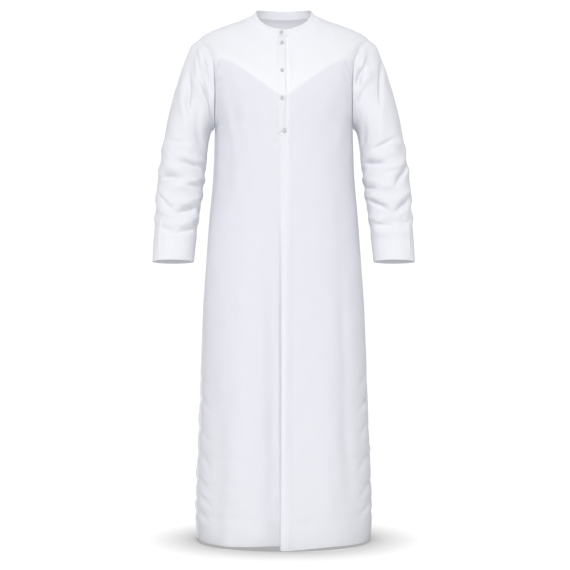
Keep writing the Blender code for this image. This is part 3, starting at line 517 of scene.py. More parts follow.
class Panel:
    """The front or the back: one cut piece from the hem to the shoulder seam and neck."""

    def __init__(self, side, depth_column, yoke_rows, armhole_ease, folds, creases, hem_lifts):
        self.side = side  # -1 front, +1 back
        self.folds = {"soft": folds}
        self.creases = creases
        self.hem_lifts = hem_lifts
        rings = np.array(BODY_RINGS)
        self.ring_v = (HEM_DROP - rings[:, 0]) / BODY_HEIGHT
        self.rings = rings[:, [1, depth_column, 4]]
        self.yoke = np.array(yoke_rows)
        self.armhole = np.array(ARMHOLE)
        self.armhole[1:-1, 1] += armhole_ease
        self.armhole[:, 1] *= side
        self.shoulder = np.array([(x, 0, z) for x, z in SHOULDER_SEAM])
        self.eased = self.ease_table()

    def edge(self, v):
        """The panel's side edge: side seam, armhole and shoulder seam."""
        low = smooth_through(self.ring_v, self.rings, v)
        drop = HEM_DROP - BODY_HEIGHT * np.clip(v, 0, 1)
        dents = sum(depth * bell((drop - at) / half) for at, half, depth in SIDE_DENTS)
        seam = np.stack([low[:, 0] + dents, np.zeros(len(v)), -drop], axis=1)
        armhole = along_points(self.armhole, np.clip(v - 1, 0, 1))
        shoulder = along_points(self.shoulder, np.clip(v - 2, 0, 1))
        edge = np.where(v[:, None] < 1, seam, np.where(v[:, None] < 2, armhole, shoulder))
        edge[:, 1] += self.side * SEAM_GAP / 2
        return edge

    def rows(self, v):
        """Per row: centre point, edge point, direction at the edge, and how full its curve is at both."""
        edge = self.edge(v)
        ring = smooth_through(self.ring_v, self.rings, v)
        level = np.full(len(v), 90), np.zeros(len(v))
        low = np.stack([ring[:, 1], edge[:, 2], *level, ring[:, 2], ring[:, 2]], axis=1)
        high = smooth_through(self.yoke[:, 0], self.yoke[:, 1:], v)
        depth, height, heading, rise, inner, outer = np.where(v[:, None] < 1, low, high).T
        heading = np.radians(heading)
        rise = np.radians(rise)
        centre = np.stack([np.zeros(len(v)), self.side * depth, height], axis=1)
        toward = [np.cos(heading) * np.cos(rise), -self.side * np.sin(heading) * np.cos(rise), np.sin(rise)]
        return centre, edge, np.stack(toward, axis=1), inner, outer

    def plain(self, v, u):
        """Points of the surface before it is eased, at paired v and u."""
        rows, where = once_each(v)
        centre, edge, toward, inner, outer = (values[where] for values in self.rows(rows))
        t = np.abs(u)[:, None]
        leave = centre.copy()
        leave[:, 0] += inner * edge[:, 0]
        reach = outer * np.abs(edge[:, 1] - centre[:, 1])
        arrive = edge - toward * reach[:, None]
        back = 1 - t
        points = back**3 * centre + 3 * back**2 * t * leave + 3 * back * t**2 * arrive + t**3 * edge
        points[:, 0] *= np.where(u < 0, -1, 1)
        return points

    def bare(self, v, u):
        """Points of the surface without its folds."""
        return self.plain(v, u) + self.ease(v, u)

    def ease_table(self):
        """Moves that round off the bend where the armhole turns into the shoulder seam."""
        rows, columns = np.meshgrid(EASE_ROWS, EASE_COLUMNS, indexing="ij")
        first = self.plain(rows.ravel(), columns.ravel()).reshape(*rows.shape, 3)
        points = first.copy()
        weight = soft_step((1 - np.abs(rows - 2)) / 0.6) * soft_step((1 - np.abs(columns)) / 0.45)
        for _ in range(EASE_PASSES):
            middle = (points[:-2] + points[2:]) / 2
            points[1:-1] += (middle - points[1:-1]) * (0.8 * weight[1:-1, :, None])
        return points - first

    def ease(self, v, u):
        row = np.clip((v - EASE_ROWS[0]) / (EASE_ROWS[1] - EASE_ROWS[0]), 0, len(EASE_ROWS) - 1.001)
        column = np.clip((u + 1) / (EASE_COLUMNS[1] - EASE_COLUMNS[0]), 0, len(EASE_COLUMNS) - 1.001)
        below = row.astype(int)
        before = column.astype(int)
        up = (row - below)[:, None]
        over = (column - before)[:, None]
        low = self.eased[below, before] * (1 - over) + self.eased[below, before + 1] * over
        high = self.eased[below + 1, before] * (1 - over) + self.eased[below + 1, before + 1] * over
        return low * (1 - up) + high * up

    def normal(self, surface, v, u):
        """Outward normals, kept square to the seam plane where the two panels meet."""
        step = 0.004
        up = surface(np.minimum(v + step, 3), u) - surface(np.maximum(v - step, 0), u)
        across = surface(v, np.minimum(u + step, 1)) - surface(v, np.maximum(u - step, -1))
        normals = np.cross(across, up) * -self.side
        at_seam = (np.abs(u) > 0.9999) & ((v < 1.0001) | (v > 1.9999))
        normals[at_seam, 1] = 0
        return unit(normals)

    def skin(self, v, u):
        """Points of the outer face, with its folds and creases."""
        bare = self.bare(v, u)
        x = bare[:, 0]
        drop = -bare[:, 2]
        inward = 1 - np.abs(u)
        small = crease_offset(x, drop, self.creases) + ripples(x, drop)
        offset = crease_offset(x, drop, self.folds) * soft_step(inward / FOLD_FADE)
        offset += small * soft_step(inward / CREASE_FADE) * soft_step((3 - v) / 0.06)
        points = bare + self.normal(self.bare, v, u) * offset[:, None]
        for lap_row in self.creases["lap"]:
            points[:, 0] += math.copysign(LAP_UNDER, lap_row[4]) * crease_offset(x, drop, {"lap": (lap_row,)})
        stations, lifts = np.array(self.hem_lifts).T
        lift = smooth_through(stations, lifts, x)[:, 0]
        points[:, 2] += lift * soft_step(1 - (HEM_DROP - drop) / HEM_LIFT_FADE)
        return points

    def face(self, v, u, out):
        """Points at a distance out from the outer face."""
        return self.skin(v, u) + self.normal(self.skin, v, u) * out

    def column_at(self, v, x):
        """The u at which each row passes x, near the centre."""
        samples = np.linspace(0, 0.4, 41)
        widths = (self.bare(np.full(41, row), samples)[:, 0] for row in v)
        return np.array([np.interp(at, width, samples) for at, width in zip(np.abs(x), widths)]) * np.sign(x)

    def row_at(self, u, height, low=0.9, high=3):
        """The v at which each column passes a height, between two rows."""
        samples = np.linspace(low, high, 161)
        heights = (self.bare(samples, np.full(161, column))[:, 2] for column in u)
        return np.array([np.interp(at, rises, samples) for at, rises in zip(height, heights)])


class Sleeve:
    """A set-in sleeve: its first ring follows the armhole, and it hangs clear of the body."""

    def __init__(self, side, front, back, creases):
        self.side = side  # +1 the wearer's left, -1 the right
        self.front = front
        self.back = back
        self.creases = creases
        self.rings = np.array(SLEEVE_RINGS)
        middle = np.diff(self.rings[:, 0:2] + self.rings[:, 2:4], axis=0)
        lengths = np.hypot(*middle.T)
        self.stations = np.r_[0, np.cumsum(lengths)] / lengths.sum()

    def places(self, angle):
        """Which share of the armhole each angle meets, which are in front and which at an end of the seam."""
        turn = np.mod(angle, 360)
        share = np.abs(turn / 180 - 1)
        return share, turn <= 180, (share < 1e-6) | (share > 1 - 1e-6)

    def armhole(self, angle):
        """Points round the armhole: 180 degrees is the underarm and 0 the shoulder tip."""
        share, in_front, at_end = self.places(angle)
        front, back = (panel.edge(1 + share * TIP_SHARE) for panel in (self.front, self.back))
        points = np.where(in_front[:, None], front, back)
        points[at_end, 1] = 0
        return points

    def armhole_normal(self, angle):
        share, in_front, at_end = self.places(angle)
        ones = np.ones(len(angle))
        front, back = (panel.normal(panel.skin, 1 + share, ones) for panel in (self.front, self.back))
        weight = np.where(at_end, 0.5, in_front)[:, None]
        return unit(front * weight + back * (1 - weight))

    def off_edge(self, angle):
        """Directions in the body's surface, square to the armhole's edge and off it."""
        tangent = self.armhole(angle + 0.5) - self.armhole(angle - 0.5)
        return unit(np.cross(self.armhole_normal(angle), tangent))

    def start(self, angle):
        """The first ring, one seam gap off the body's edge."""
        away = unit(self.off_edge(angle) + np.array([1, 0, 0]))
        return self.armhole(angle) + away * SEAM_GAP * 0.2

    def tube(self, along, angle):
        """The plain tube, before it is fitted to the armhole."""
        rows, where = once_each(along)
        rings = smooth_through(self.stations, self.rings, rows)[where]
        outer_x, outer_z, inner_x, inner_z, lean, half_depth, tilt = rings.T
        cosine = np.cos(np.radians(angle))
        forward = np.sin(np.radians(angle)) * half_depth
        x = (outer_x + inner_x) / 2 + cosine * (outer_x - inner_x) / 2
        z = (outer_z + inner_z) / 2 + cosine * (outer_z - inner_z) / 2 + forward * tilt
        return np.stack([x, -lean - forward, z], axis=1)

    def bare(self, along, angle):
        turns, where = once_each(angle)
        misfit = (self.start(turns) - self.tube(np.zeros(len(turns)), turns))[where]
        fade = 1 - soft_step(along / ARMHOLE_BLEND)
        return self.tube(along, angle) + misfit * fade[:, None]

    def normal(self, surface, along, angle):
        step = 0.002
        down = surface(np.minimum(along + step, 1), angle) - surface(np.maximum(along - step, 0), angle)
        around = surface(along, angle + 1) - surface(along, angle - 1)
        return unit(np.cross(around, down))

    def skin(self, along, angle):
        points = self.bare(along, angle)
        offset = np.zeros(len(along))
        down = along * SLEEVE_LENGTH
        for profile, rows in self.creases.items():
            for angle_a, down_a, angle_b, down_b, half_width, depth in rows:
                arc = np.radians(np.mod(angle - angle_a + 120, 360) - 120) * SLEEVE_MEAN_RADIUS
                reach = math.radians(angle_b - angle_a) * SLEEVE_MEAN_RADIUS / MM
                crease = (0, down_a, reach, down_b, half_width, depth, depth)
                offset += crease_offset(arc, down, {profile: (crease,)})
        arc = np.radians(np.mod(angle + 90, 360) - 90) * SLEEVE_MEAN_RADIUS
        window = soft_step((along - 0.28) / 0.20) * soft_step((0.90 - along) / 0.15)
        for depth, pitch, slope, bend, phase in RUMPLES:
            turn = (down + slope * arc + bend * np.sin(arc / 0.021 + phase)) / pitch + phase
            offset += depth * (1 - 2 * np.abs(np.sin(math.pi * turn))) * window
        offset *= soft_step(along / 0.02) * soft_step((1 - along) / 0.10)
        offset += ripples(points[:, 1], points[:, 2]) * soft_step(along / 0.03)
        return points + self.normal(self.bare, along, angle) * offset[:, None]

    def face(self, along, angle, out):
        """Points at a distance out from the outer face. The first ring's rim stays off the body's edge."""
        normals = self.normal(self.skin, along, angle)
        turns, where = once_each(angle)
        off_edge = self.off_edge(turns)[where]
        lean = np.maximum(np.sum(normals * off_edge, axis=1), 0) * (along < 1e-6)
        normals = unit(normals - off_edge * lean[:, None])
        points = self.skin(along, angle) + normals * out
        points[:, 0] *= self.side
        return points


def ripples(a, b):
    """Faint waves over two coordinates."""
    return sum(depth * np.sin(a * wave_a + b * wave_b + phase) for depth, wave_a, wave_b, phase in RIPPLES)


# ---- Meshes ----


def link_new(name, data):
    """A new object, in the scene."""
    made = bpy.data.objects.new(name, data)
    bpy.context.scene.collection.objects.link(made)
    return made


def new_mesh(name, vertices, faces):
    mesh = bpy.data.meshes.new(name)
    mesh.from_pydata(np.asarray(vertices).tolist(), [], np.asarray(faces).tolist())
    return mesh


def add_object(name, mesh, material):
    mesh.materials.append(material)
    made = link_new(name, mesh)
    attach(made, "root")
    return made


def arc_lengths(points):
    """Distances over a grid of points, across from its middle and along from its first row, for the weave."""
    across = np.linalg.norm(np.diff(points, axis=1, prepend=points[:, :1]), axis=2).cumsum(axis=1)
    across -= across[:, across.shape[1] // 2][:, None]
    along = np.linalg.norm(np.diff(points, axis=0, prepend=points[:1]), axis=2).cumsum(axis=0)
    return np.stack([across, along], axis=2)


def cloth_grid(name, points, material, flip=False, doubled_and_painted_light=0):
    """A sheet of cloth over a grid of points, with distances for its weave and a mask of its doubled places,
    which also carries painted light.
    """
    index = np.arange(points[..., 0].size).reshape(points.shape[:2])
    quads = np.stack([index[:-1, :-1], index[:-1, 1:], index[1:, 1:], index[1:, :-1]], axis=2).reshape(-1, 4)
    if flip:
        quads = quads[:, ::-1]
    mesh = new_mesh(name, points.reshape(-1, 3), quads)
    mesh.shade_smooth()
    weave = mesh.uv_layers.new(name="weave")
    weave.data.foreach_set("uv", arc_lengths(points).reshape(-1, 2)[quads.ravel()].astype(np.float32).ravel())
    # the mask marks doubled cloth and painted light alike
    layers_and_painted_light = mesh.attributes.new("doubled_and_painted_light", "FLOAT", "POINT")
    layers_and_painted_light.data.foreach_set("value", np.broadcast_to(doubled_and_painted_light, index.shape).astype(np.float32).ravel())
    return add_object(name, mesh, material)


def declare(node):
    """Hides the frame's node that a cloth piece replaces."""
    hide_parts(node)


def surface_grid(face, first, second, out):
    """Reads a surface on a grid: rows at first, columns at second, at distances out from it."""
    a, b = np.meshgrid(first, second, indexing="ij")
    return face(a.ravel(), b.ravel(), out.ravel()[:, None]).reshape(len(first), len(second), 3)


def edge_columns(count, fine):
    """Columns from seam to seam, closer at both and near one place, and how far each one rolls in."""
    samples = np.linspace(-0.992, 0.992, 4001)
    density = (1 + 4 * bell((samples - fine) / 0.07)).cumsum()
    middle = np.interp(np.linspace(density[0], density[-1], count), density, samples)
    near = np.array([0.9955, 0.9980, 0.9993, 1, 1])
    rolled = np.array([0.00, 0.20, 0.60, 1, 1]) * -SEAM_ROLL
    return np.r_[-near[::-1], middle, near], np.r_[rolled[::-1], np.zeros(count), rolled]


def turned_edge(depth, steps):
    """Rows of a turned hem, up its inside to its fold, as distances from the edge and out."""
    rows = np.r_[np.linspace(depth, EDGE_ROUND, steps), 0.0005, 0.0001, 0.0001, 0.0005]
    return rows, -HEM_FOLD * np.r_[np.ones(steps), 0.85, 0.65, 0.35, 0.12]


def make_panel(name, panel, row_counts, column_count, material):
    side, armhole, shoulder = row_counts
    hem_rows, hem_out = turned_edge(HEM_DEPTH, 14)
    outer = np.r_[
        np.linspace(EDGE_ROUND / BODY_HEIGHT, 1, side, endpoint=False),
        np.linspace(1, 2, armhole, endpoint=False),
        np.linspace(2, 3, shoulder),
    ]
    v = np.r_[hem_rows / BODY_HEIGHT, outer]
    u, rolled = edge_columns(column_count, LAP_PLACES[panel.side])
    deeper = 1 - 0.7 * soft_step((v - 1.3) / 0.5)
    deeper += ARMPIT_ROLL * soft_step((v - 0.98) / 0.04) * soft_step((1.72 - v) / 0.45)
    out = np.r_[hem_out, np.zeros(len(outer))][:, None] + rolled * deeper[:, None]
    out[:, [0, -1]] -= SEAM_ALLOWANCE
    points = surface_grid(panel.face, v, u, out)
    # turned hem, chest facing and button stand are doubled cloth; the facing's grade toward the neck is
    # painted shade and the strip below the placket a painted highlight
    doubled_and_painted_light = 0.35 * soft_step((HEM_DEPTH - v * BODY_HEIGHT) / 0.002 + 0.5)[:, None]
    if panel.side < 0:
        doubled_and_painted_light = np.maximum(doubled_and_painted_light, facing_and_painted_shade(points)) + stand_and_painted_highlight(points)
    doubled_and_painted_light = np.clip(doubled_and_painted_light, 0, 1)
    cloth = cloth_grid(name + "_cloth", points, material, flip=panel.side > 0, doubled_and_painted_light=doubled_and_painted_light)
    declare(name + "_body")


def facing_and_painted_shade(points):
    """How doubled the front looks where the chest facing lies behind it, graded down toward the neck as
    painted shade against the stronger light on the upper chest.
    """
    distance, drop = np.array(FACING_EDGE).T
    edge = np.interp(np.abs(points[:, :, 0]), distance, drop)
    # less toward the neck: painted shade
    share = 0.62 + 0.23 * soft_step((-points[:, :, 2] - 0.06) / 0.12)
    return share * soft_step((edge + points[:, :, 2]) / 0.009 + 0.5)


def stand_and_painted_highlight(points):
    """The button stand under the opening, doubled cloth, and a painted highlight down the pressed edge below
    it, fainter further down.
    """
    x = points[:, :, 0] - 0.0110
    drop = -points[:, :, 2]
    below = soft_step((drop - 0.24) / 0.1)
    # below the placket's foot this is a painted highlight on the pressed edge, not doubled cloth
    strength = 0.20 + 0.15 * soft_step((drop - 0.2) / 0.1) - 0.1 * soft_step((drop - 0.8) / 0.5)
    within = soft_step((0.0075 + 0.0040 * below - np.abs(x + 0.0070 * below)) / 0.004 + 0.5)
    return strength * within * soft_step((drop - 0.03) / 0.04)


def make_sleeve(name, sleeve, material):
    cuff_rows, cuff_out = turned_edge(CUFF_DEPTH, 12)
    body = np.linspace(0.012, 1 - EDGE_ROUND / SLEEVE_LENGTH, SLEEVE_ROWS)
    along = np.r_[0, 0, 0.002, 0.005, body, 1 - cuff_rows[::-1] / SLEEVE_LENGTH]
    rolled = -SEAM_ROLL * np.array([1, 1, 0.6, 0.2])
    angle = np.linspace(-180, 180, SLEEVE_COLUMNS + 1)
    deeper = 0.3 + (ARMPIT_ROLL + 0.7) * soft_step((np.abs(angle) - 50) / 80)
    out = np.r_[rolled, np.zeros(len(body)), cuff_out[::-1]][:, None] * deeper
    out[0] -= SEAM_ALLOWANCE
    out[-len(cuff_rows) :] = cuff_out[::-1][:, None]
    points = surface_grid(sleeve.face, along, angle, out)
    # the base of 0.40 paints every sleeve brighter all over, painted light; only the cuff's turned hem adds
    # doubled cloth
    doubled_and_painted_light = 0.40 + 0.22 * soft_step((CUFF_DEPTH - (1 - along) * SLEEVE_LENGTH) / 0.006 + 0.5)
    cloth = cloth_grid(name + "_cloth", points, material, flip=sleeve.side < 0, doubled_and_painted_light=doubled_and_painted_light[:, None])
    declare(name)


class Collar:
    """The standing collar, as a base line on the neck edge and a rim above it, from its outer end on."""

    def __init__(self, front, back):
        ends = front.column_at(np.array([3, 3]), np.array([COLLAR_LAP_PAST_CENTRE, COLLAR_END_UNDER]))
        corner = COLLAR_CORNER_RADIUS / COLLAR_LAP_PAST_CENTRE * ends[0]
        self.turn = np.linspace(0, 1, 501)
        turn = -ends[0] + (4 + ends[1] + ends[0]) * self.turn
        from_start = turn + ends[0]
        from_end = np.minimum(from_start, 4 + ends[1] - turn)
        top = np.full(len(turn), 3)
        on_front = front.bare(top, np.where(turn < 1, -turn, 4 - turn))
        on_back = back.bare(top, np.clip(turn - 2, -1, 1))
        base = np.where(((turn < 1) | (turn > 3))[:, None], on_front, on_back)
        base[:, 2] -= SEAM_GAP
        outward = unit(base * np.array([1, (NECK_HALF_WIDTH / 0.060) ** 2, 0]))
        backness = soft_step((base[:, 1] + 0.060) / 0.115)
        sideness = np.abs(base[:, 0]) / NECK_HALF_WIDTH
        height = COLLAR_HEIGHT_FRONT + (COLLAR_HEIGHT_BACK - COLLAR_HEIGHT_FRONT) * backness
        height -= COLLAR_FRONT_DIP * bell((sideness - 0.80) / 0.24) * soft_step((0.01 - base[:, 1]) / 0.05)
        height -= COLLAR_SIDE_DIP * bell((sideness - 1) / 0.14)
        lean = 0.04 + 0.06 * backness + 0.16 * sideness + COLLAR_SIDE_LEAN * sideness**4
        stand = unit(np.array([0, 0, 1]) - outward * lean[:, None])
        wave = 0.0004 * np.sin(turn * 9) + 0.0003 * np.sin(turn * 17 + 1)
        rim = base + stand * height[:, None] + outward * wave[:, None]
        away = soft_step((from_end - 0.3) / 0.3)[1:-1, None]
        for _ in range(COLLAR_EASE_PASSES):
            rim[1:-1] += ((rim[:-2] + rim[2:]) / 2 - rim[1:-1]) * away
        cut_off = 1 - np.sqrt(1 - np.clip(1 - from_end / corner, 0, 1) ** 2)
        rim -= stand * (COLLAR_CORNER_RADIUS * cut_off)[:, None]
        lap_out = (1 - soft_step(from_start / 0.9)) * (COLLAR_WALL + 2 * SEAM_GAP)
        lap_out += 0.0008 * (1 - soft_step(from_start / 0.2))
        self.lines = (base, rim, outward, outward * lap_out[:, None])

    def at(self, turn, share, rise=0, depth=0):
        """Points at a share of the collar's height, a rise above it and a depth in from its outer face."""
        base, rim, outward, lap_out = (read_along(turn, self.turn, values) for values in self.lines)
        up = unit(rim - base)
        return base + (rim - base) * share + up * rise + lap_out * (0.25 + 0.75 * share) - outward * depth


def make_collar(collar, material):
    ends = (0.5 - 0.5 * np.cos(np.linspace(0, math.pi, 15)))[:8]
    turn = np.unique(np.clip(np.r_[ends * 0.03, np.linspace(0.016, 0.984, 260), 1 - ends * 0.03], 0, 1))
    radius = COLLAR_WALL / 2
    arc = np.radians(np.linspace(20, 160, 7))
    shares = np.linspace(0, 1, 16)
    section = [(share, -radius * share, 0) for share in shares]
    section += [(1, radius * (math.sin(a) - 1), radius - radius * math.cos(a)) for a in arc]
    section += [(share, -radius * share, COLLAR_WALL) for share in shares[::-1]]
    section.append((0, 0, 0))
    points = np.stack([collar.at(turn, share, rise, depth) for share, rise, depth in section])
    cloth = cloth_grid("collar_cloth", points, material, doubled_and_painted_light=COLLAR_DOUBLED)
    shape = bmesh.new()
    shape.from_mesh(cloth.data)
    bmesh.ops.holes_fill(shape, edges=[edge for edge in shape.edges if edge.is_boundary], sides=80)
    shape.to_mesh(cloth.data)
    shape.free()
    declare("collar_band")


def placket_rows(front, count):
    foot, top = front.row_at(np.zeros(2), np.array([-PLACKET_FOOT_DROP, -PLACKET_TOP_DROP]))
    return np.linspace(foot, top, count)


def make_placket(front, material):
    """The strip, turned under along both edges. Its open edge gapes a little between the buttons."""
    v = placket_rows(front, 150)
    near = SEAM_GAP
    top = PLACKET_FACE
    inner = PLACKET_INNER_EDGE
    opening = PLACKET_OPEN_EDGE - PLACKET_EDGE_BACK
    section = (  # x, distance out, share of the gape
        (inner + 0.0060, 0.0001, 0),
        (inner, 0, 0),
        (inner + 0.0002, 0.0001, 0),
        (inner + 0.0024, top * 0.40, 0),
        (inner + 0.0050, top * 0.80, 0.1),
        (inner + 0.0080, top, 0.2),
        (inner + 0.0120, top + 0.0001, 0.4),
        (opening - 0.0060, top + 0.0001, 0.6),
        (opening - 0.0034, top + 0.0001, 0.8),
        (opening - PLACKET_EDGE_STITCH, top - 0.0002, 0.85),
        (opening - 0.0014, top + 0.0001, 0.95),
        (opening - 0.0003, top, 1),
        (opening, (near + top) / 2, 1),
        (opening - 0.0004, near, 1),
        (opening - 0.0060, near, 0.7),
    )
    drops = -front.bare(v, np.zeros(len(v)))[:, 2]
    to_button = np.abs(drops[:, None] - np.array(PLACKET_BUTTONS)[:, 1]).min(axis=1)
    pressed = soft_step((drops - 0.235) / 0.05)
    gape = 0.0005 * np.clip(to_button / 0.030, 0, 1) ** 1.5 * (1 - pressed)
    columns = []
    for x, out, share in section:
        u = front.column_at(v, np.full(len(v), x))
        columns.append(front.face(v, u, (out * (1 - 0.6 * pressed) + gape * share)[:, None]))
    points = np.stack(columns, axis=1)
    # the strip is doubled cloth and takes the chest facing's painted shade toward the neck
    cloth = cloth_grid("placket_cloth", points, material, doubled_and_painted_light=np.maximum(facing_and_painted_shade(points), 0.38))
    declare("placket")


def make_facing(name, front, side, material):
    """Half of the V of doubled cloth behind the chest."""
    inner_u = front.column_at(np.array([2.5]), np.array([FACING_CENTRE_GAP]))[0]
    u = np.linspace(inner_u, FACING_EDGE_INSET, 60)
    distance, drop = np.array(FACING_EDGE).T
    foot = np.full(len(u), 1.5)
    for _ in range(6):
        x = front.bare(foot, u)[:, 0]
        foot = front.row_at(u, -np.interp(x, distance, drop), 1, 1.98)
    chest = foot + (2 - foot) * np.linspace(0, 1, 46)[:, None]
    shoulder = np.linspace(2, FACING_NECK_ROW, 31)[1:]
    v = np.concatenate([chest, np.repeat(shoulder[:, None], len(u), axis=1)])
    columns = np.repeat(u[None, :] * side, len(v), axis=0)
    points = front.face(v.ravel(), columns.ravel(), -(WALL + FACING_GAP)).reshape(*v.shape, 3)
    cloth = cloth_grid(name + "_cloth", points, material, flip=side < 0)
    declare(name)


# ---- Sewing ----


def stitches_along(points, normals, length=STITCH, space=STITCH_SPACE, radius=THREAD_RADIUS):
    """Vertices and faces of a row of stitches along a line that lies on cloth."""
    arc = np.r_[0, np.linalg.norm(np.diff(points, axis=0), axis=1).cumsum()]
    count = max(1, int(arc[-1] / (length + space)))
    middles = (np.arange(count) + 0.5) * arc[-1] / count
    centre = read_along(middles, arc, points)
    before, after = (read_along(middles + way * length / 4, arc, points) for way in (-1, 1))
    axis = unit(after - before)
    normal = unit(read_along(middles, arc, normals))
    across = unit(np.cross(normal, axis))
    vertices = []
    for share, width, lift in STITCH_RINGS:
        for turn in np.arange(STITCH_SIDES) * math.tau / STITCH_SIDES:
            spoke = across * math.cos(turn) + normal * math.sin(turn)
            vertices.append(centre + axis * share * length + spoke * radius * width + normal * radius * lift)
    corner = np.arange(STITCH_SIDES)
    next_one = (corner + 1) % STITCH_SIDES
    band = np.stack([corner, next_one, STITCH_SIDES + next_one, STITCH_SIDES + corner], axis=1)
    starts = np.arange(count)[:, None] * len(vertices) + np.arange(len(STITCH_RINGS) - 1) * STITCH_SIDES
    return np.stack(vertices, axis=1).reshape(-1, 3), (starts[:, :, None, None] + band).reshape(-1, 4)


def make_sewing(name, lines, material):
    """One mesh of all the stitches along several lines."""
    vertices = []
    faces = []
    start = 0
    for points, normals, options in lines:
        made, quads = stitches_along(points, normals, **options)
        vertices.append(made)
        faces.append(quads + start)
        start += len(made)
    mesh = new_mesh(name, np.concatenate(vertices), np.concatenate(faces))
    mesh.shade_smooth()
    add_object(name, mesh, material)


def line_on(surface, first, second, out, **options):
    """A line on a panel or sleeve, with its normals, for stitches."""
    points = surface.face(first, second, out)
    return points, unit(points - surface.face(first, second, out - 0.001)), options


def short_line(front, x, drop, lift, **options):
    """A line between two places on the placket's face, given by their x and their drops."""
    v = front.row_at(np.zeros(2), -np.array(drop))
    return line_on(front, v, front.column_at(v, np.array(x)), PLACKET_FACE + lift, **options)


def collar_lines(collar):
    turn = np.linspace(0.012, 0.988, 500)
    edge = COLLAR_EDGE_STITCH / COLLAR_HEIGHT_FRONT
    lines = []
    for share in (edge, 1 - edge):
        points = collar.at(turn, share)
        lines.append((points, unit(points - collar.at(turn, share, depth=0.001)), {}))
    return lines


def placket_lines(front):
    """Stitches down both edges of the placket, round its buttonholes and in the slanting tack at its foot."""
    v = placket_rows(front, 300)
    stitched = PLACKET_INNER_EDGE + PLACKET_EDGE_STITCH
    opening = PLACKET_OPEN_EDGE - PLACKET_EDGE_BACK - PLACKET_EDGE_STITCH
    lines = []
    for x, out in ((stitched, 0.45 * PLACKET_FACE), (opening, PLACKET_FACE - 0.0002)):
        lines.append(line_on(front, v, front.column_at(v, np.full(len(v), x)), out))
    for x, middle in PLACKET_BUTTONS[:-1]:
        for side in (-1, 1):
            ends = (x + side * 0.0002, x + side * 0.0014)
            for drop in np.linspace(middle - BUTTONHOLE / 2, middle + BUTTONHOLE / 2, 24):
                lines.append(short_line(front, ends, (drop, drop), 0.0003, **BUTTONHOLE_STITCH))
    for step in np.linspace(0, 1, 14):
        x = -0.0150 + 0.0130 * step
        drop = PLACKET_FOOT_DROP - 0.0060 - 0.0080 * step
        ends = (x - 0.0006, x + 0.0006)
        lines.append(short_line(front, ends, (drop - 0.0012, drop + 0.0012), 0.0005, **TACK_STITCH))
    return lines


def make_all_sewing(front, back, left, right, collar, material):
    u = np.linspace(-0.995, 0.995, 700)
    angle = np.linspace(-179, 179, 400)
    hem = (HEM_DEPTH - HEM_STITCH) / BODY_HEIGHT
    cuff = 1 - (CUFF_DEPTH - HEM_STITCH) / SLEEVE_LENGTH
    for name, surface, row, columns in (
        ("hem_front", front, hem, u),
        ("hem_back", back, hem, u),
        ("cuff_left", left, cuff, angle),
        ("cuff_right", right, cuff, angle),
    ):
        line = line_on(surface, np.full(len(columns), row), columns, 0.0001)
        make_sewing("sewing_" + name, [line], material)
    make_sewing("sewing_collar", collar_lines(collar), material)
    make_sewing("sewing_placket", placket_lines(front), material)


# ---- Buttons ----


def mesh_from(name, shape):
    mesh = bpy.data.meshes.new(name)
    shape.to_mesh(mesh)
    shape.free()
    return mesh


def button_mesh():
    """A turned button with a rim, a dished middle and four holes."""
    half = BUTTON_THICKNESS / 2
    soft = half - BUTTON_EDGE
    outline = (  # radius, height
        (0, soft),
        (0.0026, soft),
        (0.0034, half - 0.0002),
        (0.0041, half),
        (0.0047, half - 0.0001),
        (BUTTON_RADIUS, soft),
        (BUTTON_RADIUS, -soft),
        (BUTTON_RADIUS - BUTTON_EDGE, -half),
        (0, -half),
    )
    turned = bmesh.new()
    corners = [turned.verts.new((radius, 0, height)) for radius, height in outline]
    edges = [turned.edges.new(pair) for pair in zip(corners[:-1], corners[1:])]
    bmesh.ops.spin(turned, geom=corners + edges, cent=(0, 0, 0), axis=(0, 0, 1), angle=math.tau, steps=48)
    bmesh.ops.remove_doubles(turned, verts=turned.verts[:], dist=0.00001)
    bmesh.ops.recalc_face_normals(turned, faces=turned.faces[:])
    blank = link_new("button_blank", mesh_from("button", turned))
    drills = bmesh.new()
    drill_size = {"segments": 16, "radius1": BUTTON_HOLE_RADIUS, "radius2": BUTTON_HOLE_RADIUS, "depth": 0.01}
    for x in (-BUTTON_HOLE_PLACE, BUTTON_HOLE_PLACE):
        for y in (-BUTTON_HOLE_PLACE, BUTTON_HOLE_PLACE):
            place = Matrix.Translation((x, y, 0))
            bmesh.ops.create_cone(drills, cap_ends=True, matrix=place, **drill_size)
    drill = link_new("drill", mesh_from("drill", drills))
    cut = blank.modifiers.new("holes", "BOOLEAN")
    cut.operation = "DIFFERENCE"
    cut.object = drill
    bpy.context.view_layer.update()
    finished = bpy.data.meshes.new_from_object(blank.evaluated_get(bpy.context.evaluated_depsgraph_get()))
    bpy.data.objects.remove(blank)
    bpy.data.objects.remove(drill)
    finished.set_sharp_from_angle(angle=math.radians(50))
    finished.materials.clear()
    return finished


def collar_button_place(collar):
    """The collar button's seat on the outer end of the collar, and its outward direction."""
    turn, share = COLLAR_BUTTON
    seat, low, high = (collar.at(np.array([turn]), at)[0] for at in (share, share - 0.1, share + 0.1))
    outward = unit(np.cross([1, 0, 0], high - low))
    return seat + outward * (SEAM_GAP + BUTTON_THICKNESS / 2), outward


